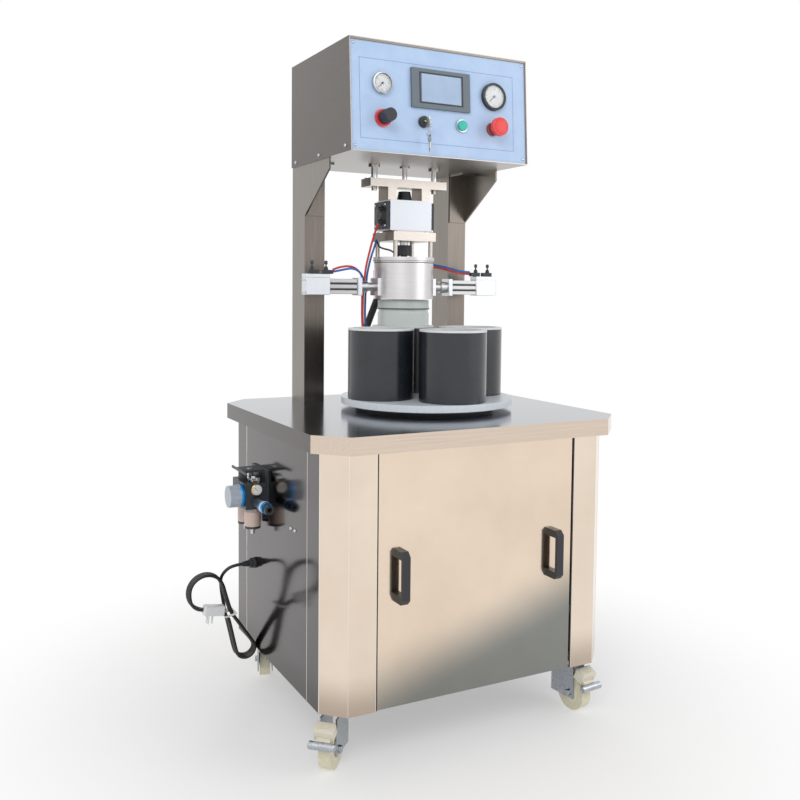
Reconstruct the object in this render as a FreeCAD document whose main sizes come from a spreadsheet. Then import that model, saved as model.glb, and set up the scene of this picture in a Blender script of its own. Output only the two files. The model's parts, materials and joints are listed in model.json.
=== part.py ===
import FreeCAD, Part
import math
import os
import re

# Jar screw capping machine: a cabinet on casters, a turntable with four jar nests, and a lifting vacuum
# capping head under a control box. X is to the right, Y to the back, Z up, floor at Z = 0, sizes in mm.

doc = FreeCAD.newDocument("capping_machine")
sheet = doc.addObject("Spreadsheet::Sheet", "Sizes")

# Driving dimensions. "x" positions of the head are measured from head_x, panel ones from the panel's foot.
SIZES = {
    # worktop and cabinet
    "top_w": 700, "top_d": 620, "top_z": 644, "top_t": 3, "skirt": 34, "top_c": 57,
    "over_x": 23, "over_y": 27.5, "cab_c": 41.5, "caster_h": 116, "sheet_t": 2, "strip": 60, "rail": 30,
    "seam": 1.5, "recess": 2.5, "panel_lip": 14,
    "handle_in": 47.5, "handle_drop": 326, "handle_len": 101, "handle_w": 16, "handle_out": 27, "handle_t": 7.5,
    # casters
    "caster_in_x": 52, "caster_in_y": 77.5, "wheel_r": 37.5, "wheel_w": 24, "trail": 30, "plate_w": 60, "plate_t": 4,
    "race_r": 23, "race_h": 12, "fork_t": 3, "fork_gap": 2.5, "axle_r": 4, "run_gap": 0.05, "side_gap": 0.6,
    "turn_fl": 227, "turn_fr": -84, "turn_rl": 72, "turn_rr": 108,
    # posts and gussets
    "head_x": 40, "post_w": 50, "post_d": 78, "post_t": 3, "post_inset": 3, "back_in": 22, "post_len": 550,
    "gusset_t": 4, "gusset_drop": 117, "gusset_run": 141, "gusset_nose": 24,
    # control box
    "box_w": 442, "box_deep": 341, "box_h": 236, "box_rake": 15, "box_t": 2,
    "panel_back": 4, "panel_t": 3,
    "row_hi": 145, "row_lo": 73, "gauge_l_x": -147, "gauge_l_r": 22.5, "gauge_r_x": 131, "gauge_r_r": 30,
    "gauge_deep": 9, "gauge_rim": 2.5, "gauge_body": 22, "needle_t": 0.8,
    "hmi_x": -5, "hmi_w": 145, "hmi_h": 84, "hmi_out": 7, "hmi_body": 30, "hmi_edge": 8,
    "knob_x": -145, "knob_r": 13.5, "knob_len": 34, "knob_ring_r": 19, "knob_ring_t": 5,
    "key_x": -48, "key_r": 12, "key_core": 5.5, "button_x": 47, "button_r": 11.5, "button_ring_r": 14,
    "estop_x": 128, "estop_r": 20, "estop_neck_r": 9, "estop_base_r": 15, "press": 4,
    # lifting head
    "head_back": 158, "stroke": 62, "seal_gap": 0.5, "rod_x": 79, "rod_r": 7.5, "piston_r": 6, "bush_r": 19, "bush_h": 12,
    "lift_w": 200, "lift_d": 50, "lift_t": 18.5, "lift_drop": 50.5,
    "hang_w": 22, "hang_d": 50, "hang_in": 33, "hang_h": 29.5, "act_front": 35, "act_d": 70, "act_h": 70,
    "act_half": 54, "cap_left": 8, "cap_right": 8, "dome_r": 18.5, "dome_h": 22,
    "mid_w": 110, "mid_t": 20, "mid_step": 4, "stand_r": 5, "stand_at": 46,
    "spin_r": 8, "coup_r": 19, "coup_h": 24,
    "cham_r": 70, "cham_wall": 5, "cham_h": 87, "flange_r": 72, "flange_t": 10,
    "chuck_r": 44, "chuck_h": 20, "chuck_pad": 5,
    "clamp_up": 28, "clamp_reach": 251, "clamp_block": 57, "clamp_plate": 10, "clamp_half": 19, "clamp_deep": 14,
    "clamp_nose": 115, "nose_r": 10, "mount_half": 20, "mount_t": 7, "grip_r": 4.5,
    "grip_at": 68, "grip_stroke": 5, "hose_r": 8.5, "port_off": 14,
    "hose_in": 70, "hose_back": 92, "hose_low": 84, "hose_bend": 128, "hose_top": 22, "port_up": 44, "chuck_gap": 2,
    # turntable
    "disc_r": 192, "disc_t": 14.5, "disc_gap": 11, "base_r": 150, "base_t": 7,
    "hub_r": 60, "shaft_r": 18, "pitch": 115, "cup_r": 72.5, "cup_h": 154, "cup_wall": 4, "cup_floor": 10,
    "liner_wall": 6.5, "liner_lip": 4, "jar_r": 60, "jar_wall": 3, "jar_up": 38.5,
    "lid_r": 59.5, "lid_h": 22, "lid_bead": 61.5, "lid_bead_h": 4,
    # filter unit on the left side
    "unit_y": 60, "unit_drop": 199.5, "unit_h": 54, "unit_w": 50, "unit_pitch": 46, "unit_deep": 44, "unit_off": 5,
    "bowl_r": 17, "bowl_h": 44, "dial_r": 23, "dial_len": 32, "dial_neck": 16, "port_r": 5,
    "valve_r": 10, "valve_len": 38, "sleeve_r": 12, "sleeve_len": 28,
    # power cord
    "cord_r": 3.5, "gland_y": 121, "gland_drop": 339, "gland_r": 7, "gland_len": 30,
}

def cell_safe(name):
    return re.fullmatch(r"[a-z]+[a-z_]+", name) is not None

row = 1
for alias in SIZES:
    if not cell_safe(alias):
        raise RuntimeError("alias is not plain words: " + alias)
    sheet.set("A%d" % row, alias)
    sheet.set("B%d" % row, str(SIZES[alias]))
    sheet.setAlias("B%d" % row, alias)
    row += 1
# The frame's X = 0 is halfway between the filter knob's end and the worktop's right edge.
DERIVED = {
    "cab_w": "=top_w - 2 * over_x", "cab_d": "=top_d - 2 * over_y", "cab_z": "=caster_h",
    "handle_x": "=cab_w / 2 - cab_c - strip - handle_in", "handle_z": "=top_z - handle_drop",
    "caster_x": "=cab_w / 2 - caster_in_x", "caster_y": "=cab_d / 2 - caster_in_y",
    "box_z": "=top_z + post_len", "box_back": "=top_d / 2 - back_in", "box_foot": "=box_deep - box_back",
    "axis_y": "=box_back - head_back", "disc_x": "=head_x", "disc_y": "=axis_y - pitch",
    "lift_z": "=box_z - lift_drop", "act_z": "=lift_z - hang_h - act_h", "mid_z": "=act_z - mid_t - mid_step",
    "frame_x": "=(cab_w / 2 + unit_off + unit_deep + dial_len - top_w / 2) / 2",
    "cab_top": "=top_z - top_t",
    "cab_h": "=top_z - top_t - cab_z",
    "disc_z": "=top_z + disc_gap",
    "cup_z": "=top_z + disc_gap + disc_t",
    "cham_z": "=cup_z + cup_h + stroke + seal_gap", "clamp_z": "=cham_z + clamp_up", "jar_top": "=cup_z + cup_h + jar_up",
    "unit_z": "=top_z - unit_drop", "gland_z": "=top_z - gland_drop",
    "half_w": "=cab_w / 2", "half_d": "=cab_d / 2",
    "box_front": "=0 - box_foot",
    "bore_r": "=cup_r - cup_wall - liner_wall",
}
for alias in DERIVED:
    sheet.set("A%d" % row, alias)
    sheet.set("B%d" % row, DERIVED[alias])
    sheet.setAlias("B%d" % row, alias)
    row += 1
doc.recompute()
ALIASES = set(SIZES) | set(DERIVED)

def value(name):
    return float(sheet.get(name))

def linked(text):
    return re.sub(r"[a-z_]+", lambda m: "Sizes." + m.group(0) if m.group(0) in ALIASES else m.group(0), str(text))

counter = [0]
nodes = []

def part(kind, props, at=(0, 0, 0), turn=None):
    counter[0] += 1
    obj = doc.addObject("Part::" + kind, "piece%03d" % counter[0])
    for prop in props:
        obj.setExpression(prop, linked(props[prop]))
    if turn:
        obj.Placement = FreeCAD.Placement(FreeCAD.Vector(0, 0, 0), FreeCAD.Rotation(FreeCAD.Vector(*turn[0]), turn[1]))
    for axis, place in zip("xyz", at):
        obj.setExpression(".Placement.Base." + axis, linked(place))
    return obj

def box(sx, sy, sz, x, y, z, turn=None):
    return part("Box", {"Length": sx, "Width": sy, "Height": sz}, (x, y, z), turn)

def slab(sx, sy, sz, x, y, z):
    """Box centred on x and y, standing on z."""
    return box(sx, sy, sz, "(%s)-(%s)/2" % (x, sx), "(%s)-(%s)/2" % (y, sy), z)

def rod(r, length, x, y, z, turn=None):
    return part("Cylinder", {"Radius": r, "Height": length}, (x, y, z), turn)

TO_X = ((0, 1, 0), 90)
TO_MINUS_X = ((0, 1, 0), -90)
TO_MINUS_Y = ((1, 0, 0), 90)
TO_Y = ((1, 0, 0), -90)

def cone(r_low, r_high, length, x, y, z, turn=None):
    return part("Cone", {"Radius1": r_low, "Radius2": r_high, "Height": length}, (x, y, z), turn)

def fuse(items):
    if len(items) == 1:
        return items[0]
    counter[0] += 1
    obj = doc.addObject("Part::MultiFuse", "joined%03d" % counter[0])
    obj.Shapes = items
    return obj

def cut(base, tools):
    counter[0] += 1
    obj = doc.addObject("Part::Cut", "cut%03d" % counter[0])
    obj.Base = base
    obj.Tool = fuse(tools)
    return obj

def common(a, b):
    counter[0] += 1
    obj = doc.addObject("Part::Common", "shared%03d" % counter[0])
    obj.Base = a
    obj.Tool = b
    return obj

def group(items):
    counter[0] += 1
    obj = doc.addObject("Part::Compound", "group%03d" % counter[0])
    obj.Links = items
    return obj

def node(name, items, at=("0", "0", "0"), turn=None):
    """One named sub-part. Its own placement carries the shift to the frame's origin."""
    obj = group(items)
    obj.Label = name
    if turn:
        obj.Placement = FreeCAD.Placement(FreeCAD.Vector(0, 0, 0), FreeCAD.Rotation(FreeCAD.Vector(*turn[0]), 1))
        obj.setExpression(".Placement.Rotation.Angle", linked(turn[1]))
    obj.setExpression(".Placement.Base.x", linked("frame_x+(%s)" % at[0]))
    obj.setExpression(".Placement.Base.y", linked(at[1]))
    obj.setExpression(".Placement.Base.z", linked(at[2]))
    nodes.append(obj)
    return obj

def octagon(w, d, c, z, length):
    """Upright block with its four corners cut off at 45 degrees."""
    corners = []
    for sx in ("-1", "1"):
        for sy in ("-1", "1"):
            corners.append(box("(%s)*sqrt(2)" % c, "(%s)*sqrt(2)" % c, "(%s)+2" % length,
                               "(%s)*(%s)/2" % (sx, w), "(%s)*(%s)/2-(%s)" % (sy, d, c), "(%s)-1" % z,
                               ((0, 0, 1), 45)))
    return cut(slab(w, d, length, "0", "0", z), corners)

def screws(places, r, length, turn=None):
    return [rod(r, length, x, y, z, turn) for x, y, z in places]

# Cabinet frame: four folded corner pillars welded to rails round the foot and the top
ring = cut(octagon("cab_w", "cab_d", "cab_c", "cab_z", "cab_h"),
           [octagon("cab_w-2*sheet_t", "cab_d-2*sheet_t", "cab_c-0.586*sheet_t", "cab_z-1", "cab_h+2")])
windows = [slab("cab_w-2*(cab_c+strip)", "cab_d+10", "cab_h+2", "0", "0", "cab_z-1"),
           slab("cab_w+10", "cab_d-2*(cab_c+strip)", "cab_h+2", "0", "0", "cab_z-1")]
rails = []
for z in ("cab_z", "cab_top-rail"):
    for s in ("-1", "1"):
        rails.append(slab("cab_w-2*sheet_t-rail", "rail", "rail", "0", "(%s)*(half_d-sheet_t-panel_lip-rail/2)" % s, z))
        rails.append(slab("rail", "cab_d-2*cab_c", "rail", "(%s)*(half_w-sheet_t-rail/2)" % s, "0", z))
for s in ("-1", "1"):
    rails.append(slab("plate_w+16", "cab_d-2*(cab_c+panel_lip)", "5", "(%s)*caster_x*0.97" % s, "0", "cab_z"))
pillar_feet = []
for sx in ("-1", "1"):
    for sy in ("-1", "1"):
        pillar_feet.append(slab("strip+cab_c*0.5", "20", "rail", "(%s)*(half_w-cab_c-strip+1+(strip+cab_c*0.5)/2)" % sx,
                                "(%s)*(half_d-sheet_t-9)" % sy, "cab_top-rail"))
frame_body = common(fuse([cut(ring, windows)] + rails + pillar_feet),
                    octagon("cab_w", "cab_d", "cab_c", "cab_z", "cab_h"))
node("cabinet_frame", [frame_body])

# Cabinet skins between the pillars
node("side_panels", [slab("sheet_t", "cab_d-2*(cab_c+strip)-2*seam", "cab_h", "(%s)*(half_w-sheet_t/2)" % s,
                          "0", "cab_z") for s in ("-1", "1")])
node("rear_panel", [cut(slab("cab_w-2*(cab_c+strip)-2*seam", "panel_lip+sheet_t", "cab_h", "0",
                             "half_d-(panel_lip+sheet_t)/2", "cab_z"),
                        [slab("cab_w-2*(cab_c+strip)-2*seam-2*sheet_t", "panel_lip+2", "cab_h-2*sheet_t", "0",
                              "half_d-sheet_t-(panel_lip+2)/2", "cab_z+sheet_t")])])

# Lift-off front panel, a shallow tray, with two bridge handles
PANEL_W = "cab_w-2*(cab_c+strip)-2*seam"
PANEL_H = "top_z-skirt-cab_z-4"
node("front_panel", [cut(slab(PANEL_W, "panel_lip-recess+sheet_t", PANEL_H, "0",
                              "recess-half_d+(panel_lip-recess+sheet_t)/2", "cab_z+1"),
                         [slab(PANEL_W + "-2*sheet_t", "panel_lip+4", PANEL_H + "-2*sheet_t", "0",
                               "recess-half_d+sheet_t+(panel_lip+4)/2", "cab_z+1+sheet_t")])])

def bridge_handle(x):
    front = "recess-half_d-handle_out"
    body = slab("handle_w", "handle_out", "handle_len", x, front + "+handle_out/2", "handle_z")
    gap = slab("handle_w+2", "handle_out-handle_t", "handle_len-4*handle_t", x,
               front + "+handle_t+(handle_out-handle_t)/2", "handle_z+2*handle_t")
    tips = []
    for z, angle in (("handle_z", 45), ("handle_z+handle_len", 45)):
        tips.append(box("handle_w+2", "handle_t*1.7", "handle_t*1.7", "(%s)-handle_w/2-1" % x, front,
                        "(%s)-handle_t*1.2" % z, ((1, 0, 0), angle)))
    return cut(body, [gap] + tips)
node("panel_handles", [bridge_handle("0-handle_x"), bridge_handle("handle_x")])

# Worktop: a stainless pan with a deep skirt, holed for the turntable shaft
worktop = cut(octagon("top_w", "top_d", "top_c", "top_z-skirt", "skirt"),
              [octagon("top_w-2*top_t", "top_d-2*top_t", "top_c-0.586*top_t", "top_z-skirt-1", "skirt-top_t+1"),
               rod("shaft_r+4", "20", "disc_x", "disc_y", "top_z-10"),
               rod("hose_r+3", "20", "head_x-hose_in", "axis_y+hose_back", "top_z-10")])
node("worktop", [worktop])

# Two rectangular posts and the folded gussets under the control box
posts = []
gussets = []
for s in ("-1", "1"):
    px = "head_x+(%s)*(box_w/2-post_inset-post_w/2)" % s
    py = "box_back-post_d/2"
    posts.append(cut(slab("post_w", "post_d", "box_z-top_z", px, py, "top_z"),
                     [slab("post_w-2*post_t", "post_d-2*post_t", "box_z-top_z+2", px, py, "top_z-1")]))
    flange = slab("post_w-4", "gusset_t", "gusset_drop", px, "box_back-post_d-gusset_t/2", "box_z-gusset_drop")
    web_x = "head_x+(%s)*(box_w/2-post_inset-gusset_t/2)" % s
    web = slab("gusset_t", "gusset_run", "gusset_drop", web_x, "box_back-post_d-gusset_run/2", "box_z-gusset_drop")
    slope = math.degrees(math.atan2(value("gusset_drop") - value("gusset_nose"), value("gusset_run")))
    off = box("gusset_t+4", "gusset_run*1.6", "gusset_drop", "(%s)-gusset_t/2-2" % web_x,
              "box_back-post_d-gusset_run*1.6*%.6f-gusset_drop*%.6f" % (math.cos(math.radians(slope)), math.sin(math.radians(slope))),
              "box_z-gusset_drop+gusset_run*1.6*%.6f-gusset_drop*%.6f" % (math.sin(math.radians(slope)), math.cos(math.radians(slope))),
              ((1, 0, 0), -slope))
    top = slab("post_w-4", "60", "gusset_t", px, "box_back-post_d-30", "box_z-gusset_t")
    gussets.append(fuse([flange, top, cut(web, [off])]))
node("posts", posts)
node("post_gussets", gussets)

# Control box: folded housing with a raked open front
def raked(inset, front, z_low, z_cut, back):
    """Raked block: inset on both sides, front moved back by front, from z_low up to the top less z_cut."""
    obj = part("Wedge", {"Xmin": "0-box_w/2+(%s)" % inset, "Xmax": "box_w/2-(%s)" % inset,
                         "X2min": "0-box_w/2+(%s)" % inset, "X2max": "box_w/2-(%s)" % inset,
                         "Ymin": z_low, "Ymax": "box_h-(%s)" % z_cut,
                         "Zmin": "(%s)-box_back" % back, "Z2min": "(%s)-box_back" % back,
                         "Zmax": "box_foot-(%s)-box_rake*(%s)/box_h" % (front, z_low),
                         "Z2max": "box_foot-(%s)-box_rake*(box_h-(%s))/box_h" % (front, z_cut)},
               ("head_x", "0", "box_z"), TO_MINUS_Y)
    return obj

bottom_holes = [rod("rod_r+6", "20", "head_x+(%s)*rod_x" % s, "axis_y", "box_z-10") for s in ("-1", "1")]
bottom_holes.append(rod("piston_r+6", "20", "head_x", "axis_y", "box_z-10"))
node("head_housing", [cut(raked("0", "0", "0", "0", "0"),
                          [raked("box_t", "0-20", "box_t", "box_t", "box_t")] + bottom_holes)])

# Control panel: a raked plate between the housing's cheeks, with a hole for each fitting
def fitting_holes(extra):
    holes = []
    for x, y, r in (("gauge_l_x", "row_hi", "gauge_l_r*0.8"), ("gauge_r_x", "row_hi", "gauge_r_r*0.8"),
                    ("knob_x", "row_lo", "knob_ring_r*0.6"), ("key_x", "row_lo", "key_r*0.7"),
                    ("button_x", "row_lo", "button_ring_r*0.95"), ("estop_x", "row_lo", "estop_base_r*0.7")):
        holes.append(rod("%s+%s" % (r, extra), "40", x, y, "0-20"))
    return holes
PANEL_TILT = "90 deg-atan(box_rake/box_h)"
PANEL_AT = ("head_x", "panel_back-box_foot", "box_z")
half_panel = "box_w/2-box_t"
node("control_panel", [cut(box("2*(%s)" % half_panel, "box_h-box_t*2-0.6", "panel_t", "0-(%s)" % half_panel, "box_t+0.4", "0-panel_t"),
                           fitting_holes("0") + [slab("hmi_w-2*hmi_edge", "hmi_h-2*hmi_edge", "40", "hmi_x", "row_hi", "0-20")])],
     PANEL_AT, ((1, 0, 0), PANEL_TILT))
node("hmi", [fuse([slab("hmi_w", "hmi_h", "hmi_out", "hmi_x", "row_hi", "0"),
                   slab("hmi_w-2*hmi_edge", "hmi_h-2*hmi_edge", "hmi_body+1", "hmi_x", "row_hi", "0-hmi_body")])],
     PANEL_AT, ((1, 0, 0), PANEL_TILT))

def gauge_case(x, r):
    return cut(fuse([rod(r, "gauge_deep", x, "row_hi", "0"), rod("(%s)*0.8" % r, "gauge_body+1", x, "row_hi", "0-gauge_body"),
                     rod("5", "16", x, "row_hi", "0-gauge_body-15")]),
               [rod("(%s)-gauge_rim" % r, "gauge_deep", x, "row_hi", "gauge_deep-4")])
node("gauge_cases", [gauge_case("gauge_l_x", "gauge_l_r"), gauge_case("gauge_r_x", "gauge_r_r")],
     PANEL_AT, ((1, 0, 0), PANEL_TILT))
for name, x, r in (("gauge_needle_left", "gauge_l_x", "gauge_l_r"), ("gauge_needle_right", "gauge_r_x", "gauge_r_r")):
    needle = fuse([rod("2.4", "2", "0", "0", "0"),
                   box("1.2", "(%s)*0.72" % r, "needle_t", "0-0.6", "0-(%s)*0.15" % r, "0.6")])
    turned = group([needle])
    turned.Placement = FreeCAD.Placement(FreeCAD.Vector(0, 0, 0), FreeCAD.Rotation(FreeCAD.Vector(0, 0, 1), 135))
    turned.setExpression(".Placement.Base.x", linked(x))
    turned.setExpression(".Placement.Base.y", linked("row_hi"))
    turned.setExpression(".Placement.Base.z", linked("gauge_deep-3.95"))
    node(name, [turned], PANEL_AT, ((1, 0, 0), PANEL_TILT))

regulator = cut(fuse([rod("knob_ring_r", "knob_ring_t", "knob_x", "row_lo", "0"),
                      rod("knob_ring_r*0.6", "40", "knob_x", "row_lo", "0-40+1"),
                      slab("40", "40", "34", "knob_x", "row_lo", "0-44")]),
                [rod("4.05", "60", "knob_x", "row_lo", "0-20")])
key_barrel = cut(fuse([rod("key_r", "6", "key_x", "row_lo", "0"), rod("key_r*0.7", "31", "key_x", "row_lo", "0-30")]),
                 [rod("key_core+0.3", "40", "key_x", "row_lo", "0-5")])
button_ring = cut(fuse([rod("button_ring_r", "5", "button_x", "row_lo", "0"),
                        rod("button_ring_r*0.95", "31", "button_x", "row_lo", "0-30")]),
                  [rod("button_r+0.3", "30", "button_x", "row_lo", "0-16")])
estop_base = cut(fuse([rod("estop_base_r", "7", "estop_x", "row_lo", "0"), rod("estop_base_r*0.7", "33", "estop_x", "row_lo", "0-32"),
                       slab("30", "40", "20", "estop_x", "row_lo", "0-50")]),
                 [rod("estop_neck_r+0.3", "30", "estop_x", "row_lo", "0-16")])
node("panel_fittings", [regulator, key_barrel, button_ring, estop_base], PANEL_AT, ((1, 0, 0), PANEL_TILT))
node("regulator_knob", [fuse([rod("knob_r", "knob_len", "knob_x", "row_lo", "knob_ring_t+side_gap"),
                              rod("4", "22", "knob_x", "row_lo", "knob_ring_t+side_gap-20")])],
     PANEL_AT, ((1, 0, 0), PANEL_TILT))
node("key", [fuse([rod("key_core", "11", "key_x", "row_lo", "0-4.7"), slab("8", "2", "8", "key_x", "row_lo", "5"),
                  slab("3", "20", "16", "key_x", "row_lo-4", "12")])], PANEL_AT, ((1, 0, 0), PANEL_TILT))
node("start_button", [fuse([rod("button_r", "17", "button_x", "row_lo", "0-8")])], PANEL_AT, ((1, 0, 0), PANEL_TILT))
node("estop_head", [fuse([rod("estop_neck_r", "30", "estop_x", "row_lo", "0-10"),
                          cone("estop_r*0.72", "estop_r", "7", "estop_x", "row_lo", "19"),
                          rod("estop_r", "9", "estop_x", "row_lo", "26")])], PANEL_AT, ((1, 0, 0), PANEL_TILT))

# Lift: a cylinder on the box floor and two guide bushes, through which the head's rods pass
bushes = []
for s in ("-1", "1"):
    bushes.append(cut(fuse([rod("bush_r", "bush_h", "head_x+(%s)*rod_x" % s, "axis_y", "box_z+box_t"),
                            rod("rod_r+5.8", "bush_h*4", "head_x+(%s)*rod_x" % s, "axis_y", "box_z-bush_h/2")]),
                      [rod("rod_r+run_gap", "bush_h*5", "head_x+(%s)*rod_x" % s, "axis_y", "box_z-bush_h")]))
barrel = cut(fuse([slab("56", "56", "22", "head_x", "axis_y", "box_z+box_t"),
                   rod("25", "150", "head_x", "axis_y", "box_z+box_t+20"),
                   slab("56", "56", "20", "head_x", "axis_y", "box_z+box_t+168"),
                   rod("piston_r+5.8", "box_t+5", "head_x", "axis_y", "box_z-4")]),
             [rod("piston_r+run_gap", "40", "head_x", "axis_y", "box_z-5"),
              rod("20", "142", "head_x", "axis_y", "box_z+box_t+24")])
node("lift_cylinder", [barrel] + bushes)

# Lifting head, drawn raised
piston = fuse([rod("piston_r", "box_z-lift_z-lift_t+box_t+44+stroke", "head_x", "axis_y", "lift_z+lift_t"),
               rod("19.7", "16", "head_x", "axis_y", "box_z+box_t+28+stroke")])
guides = [rod("rod_r", "box_z-lift_z+stroke+70-lift_t", "head_x+(%s)*rod_x" % s, "axis_y", "lift_z+lift_t") for s in ("-1", "1")]
node("lift_rods", [piston] + guides)
plate_bolts = []
for s in ("-1", "1"):
    plate_bolts += [rod("6", "8", "head_x+(%s)*rod_x" % s, "axis_y", "lift_z-8")]
node("lift_plate", [fuse([slab("lift_w", "lift_d", "lift_t", "head_x", "axis_y", "lift_z")] + plate_bolts)])
spacers = []
for s in ("-1", "1"):
    spacers.append(slab("hang_w", "hang_d", "lift_z-act_z-act_h", "head_x+(%s)*(hang_in+hang_w/2)" % s,
                        "axis_y", "act_z+act_h"))
    for t in ("-1", "1"):
        spacers.append(rod("stand_r", "mid_z-cham_z-cham_h-flange_t", "head_x+(%s)*stand_at" % s,
                           "axis_y+(%s)*stand_at" % t, "cham_z+cham_h+flange_t"))
node("head_spacers", spacers)
actuator = cut(fuse([slab("2*act_half", "act_d", "act_h", "head_x", "axis_y-act_front+act_d/2", "act_z"),
                     box("cap_left", "act_d-6", "act_h-8", "head_x-act_half-cap_left", "axis_y-act_front+3", "act_z+4"),
                     box("cap_right", "act_d-6", "act_h-8", "head_x+act_half", "axis_y-act_front+3", "act_z+4"),
                     rod("12", "5", "head_x-act_half-cap_left-4", "axis_y", "act_z+act_h/2", TO_X)]),
               [rod("spin_r+run_gap", "act_h+10", "head_x", "axis_y", "act_z-5")])
node("rotary_actuator", [actuator])
node("middle_plate", [cut(fuse([slab("mid_w", "mid_w", "mid_t", "head_x", "axis_y", "mid_z"),
                                slab("80", "64", "act_z-mid_z", "head_x", "axis_y", "mid_z")]),
                          [rod("spin_r+4", "mid_t+10", "head_x", "axis_y", "mid_z-5")])])
SPIN_FOOT = "cham_z+cham_h-4"
node("spindle", [fuse([rod("spin_r", "act_z+act_h+2-(%s)" % SPIN_FOOT, "head_x", "axis_y", SPIN_FOOT),
                       rod("coup_r", "coup_h", "head_x", "axis_y", "cham_z+cham_h+flange_t+side_gap+4"),
                       cone("dome_r", "dome_r*0.75", "dome_h", "head_x", "axis_y", "act_z+act_h+side_gap")])])
chuck = cut(fuse([rod("chuck_r", "chuck_h-chuck_pad", "head_x", "axis_y", "cham_z+cham_h-chuck_h-chuck_gap+chuck_pad"),
                  rod("chuck_r-4", "chuck_pad", "head_x", "axis_y", "cham_z+cham_h-chuck_h-chuck_gap")]),
            [rod("spin_r", "30", "head_x", "axis_y", SPIN_FOOT)])
node("cap_chuck", [chuck])

# Vacuum chamber: a turned bell, its top flange, two seats for the clamps and a block for the hose
grip_ports = [rod("grip_r+run_gap", "240", "head_x-120", "axis_y", "clamp_z", TO_X)]
bell = cut(rod("cham_r", "cham_h", "head_x", "axis_y", "cham_z"),
           [rod("cham_r-cham_wall", "cham_h+2", "head_x", "axis_y", "cham_z-1")] + grip_ports)
flange = cut(rod("flange_r", "flange_t", "head_x", "axis_y", "cham_z+cham_h"),
             [rod("spin_r+run_gap", "30", "head_x", "axis_y", "cham_z+cham_h-5")])
seats = [cut(slab("mount_t+12", "2*mount_half", "2*mount_half", "head_x+(%s)*(cham_r+(mount_t-12)/2)" % s, "axis_y",
                  "clamp_z-mount_half"),
             [rod("cham_r", "2*mount_half+4", "head_x", "axis_y", "clamp_z-mount_half-2")] + grip_ports) for s in ("-1", "1")]
port = cut(slab("26", "52", "24", "head_x-port_off", "axis_y+hose_back-9", "cham_z+port_up"),
           [rod("cham_r", "40", "head_x", "axis_y", "cham_z+port_up-5")])
node("vacuum_chamber", [bell])
node("chamber_fittings", [flange, port] + seats)

# Clamp cylinders on both sides of the chamber; each rod carries a grip pad inside it
clamps = []
for s, way in (("-1", TO_MINUS_X), ("1", TO_X)):
    start = "head_x+(%s)*" % s
    nose = rod("nose_r", "clamp_nose-cham_r-mount_t+1", start + "(cham_r+mount_t)", "axis_y", "clamp_z", way)
    plate = slab("clamp_plate", "2*clamp_deep+6", "2*clamp_half+2", start + "(clamp_nose+clamp_plate/2)", "axis_y", "clamp_z-clamp_half-1")
    middle = slab("clamp_reach-clamp_block-clamp_nose-clamp_plate+2", "2*clamp_deep-4", "2*clamp_half-6",
                  start + "((clamp_reach-clamp_block+clamp_nose+clamp_plate)/2)", "axis_y", "clamp_z-clamp_half+3")
    block = slab("clamp_block", "2*clamp_deep", "2*clamp_half", start + "(clamp_reach-clamp_block/2)", "axis_y", "clamp_z-clamp_half")
    strip = slab("clamp_block-8", "10", "9", start + "(clamp_reach-clamp_block/2)", "axis_y-6", "clamp_z+clamp_half-1")
    bore = rod("grip_r+run_gap", "clamp_reach-cham_r-mount_t-40", start + "(cham_r+mount_t-1)", "axis_y", "clamp_z", way)
    wide = rod("9", "grip_stroke+12", start + "(clamp_nose+clamp_plate+20)", "axis_y", "clamp_z", way)
    clamps.append(cut(fuse([nose, plate, middle, block, strip]), [bore, wide]))
node("clamp_cylinders", clamps)
for name, s, way in (("clamp_rod_left", "-1", TO_MINUS_X), ("clamp_rod_right", "1", TO_X)):
    start = "head_x+(%s)*" % s
    shaft = rod("grip_r", "clamp_nose+clamp_plate+20+grip_stroke+12-grip_at", start + "grip_at", "axis_y", "clamp_z", way)
    piston = rod("8.7", "8", start + "(clamp_nose+clamp_plate+20+grip_stroke+2)", "axis_y", "clamp_z", way)
    node(name, [fuse([shaft, piston])])

# Turntable: fixed base ring, disc on its shaft, and four jar nests with white liners
node("turntable_base", [cut(fuse([rod("base_r", "base_t", "disc_x", "disc_y", "top_z"),
                                  rod("hub_r", "disc_gap-side_gap", "disc_x", "disc_y", "top_z")]),
                            [rod("shaft_r+run_gap", "30", "disc_x", "disc_y", "top_z-5")])])
node("turntable_disc", [fuse([rod("disc_r", "disc_t", "disc_x", "disc_y", "disc_z"),
                              rod("shaft_r", "110", "disc_x", "disc_y", "disc_z-109")])])
cups = []
liners = []
for cx, cy in (("0-pitch", "0"), ("0", "0-pitch"), ("pitch", "0"), ("0", "pitch")):
    x = "disc_x+(%s)" % cx
    y = "disc_y+(%s)" % cy
    cups.append(cut(rod("cup_r", "cup_h-liner_lip", x, y, "cup_z"),
                    [rod("cup_r-cup_wall", "cup_h", x, y, "cup_z+cup_floor")]))
    liners.append(cut(fuse([rod("cup_r-cup_wall", "cup_h-cup_floor", x, y, "cup_z+cup_floor"),
                            rod("cup_r", "liner_lip", x, y, "cup_z+cup_h-liner_lip")]),
                      [rod("bore_r", "cup_h", x, y, "cup_z+cup_floor+4")]))
node("nest_cups", cups)
node("nest_liners", liners)

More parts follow.
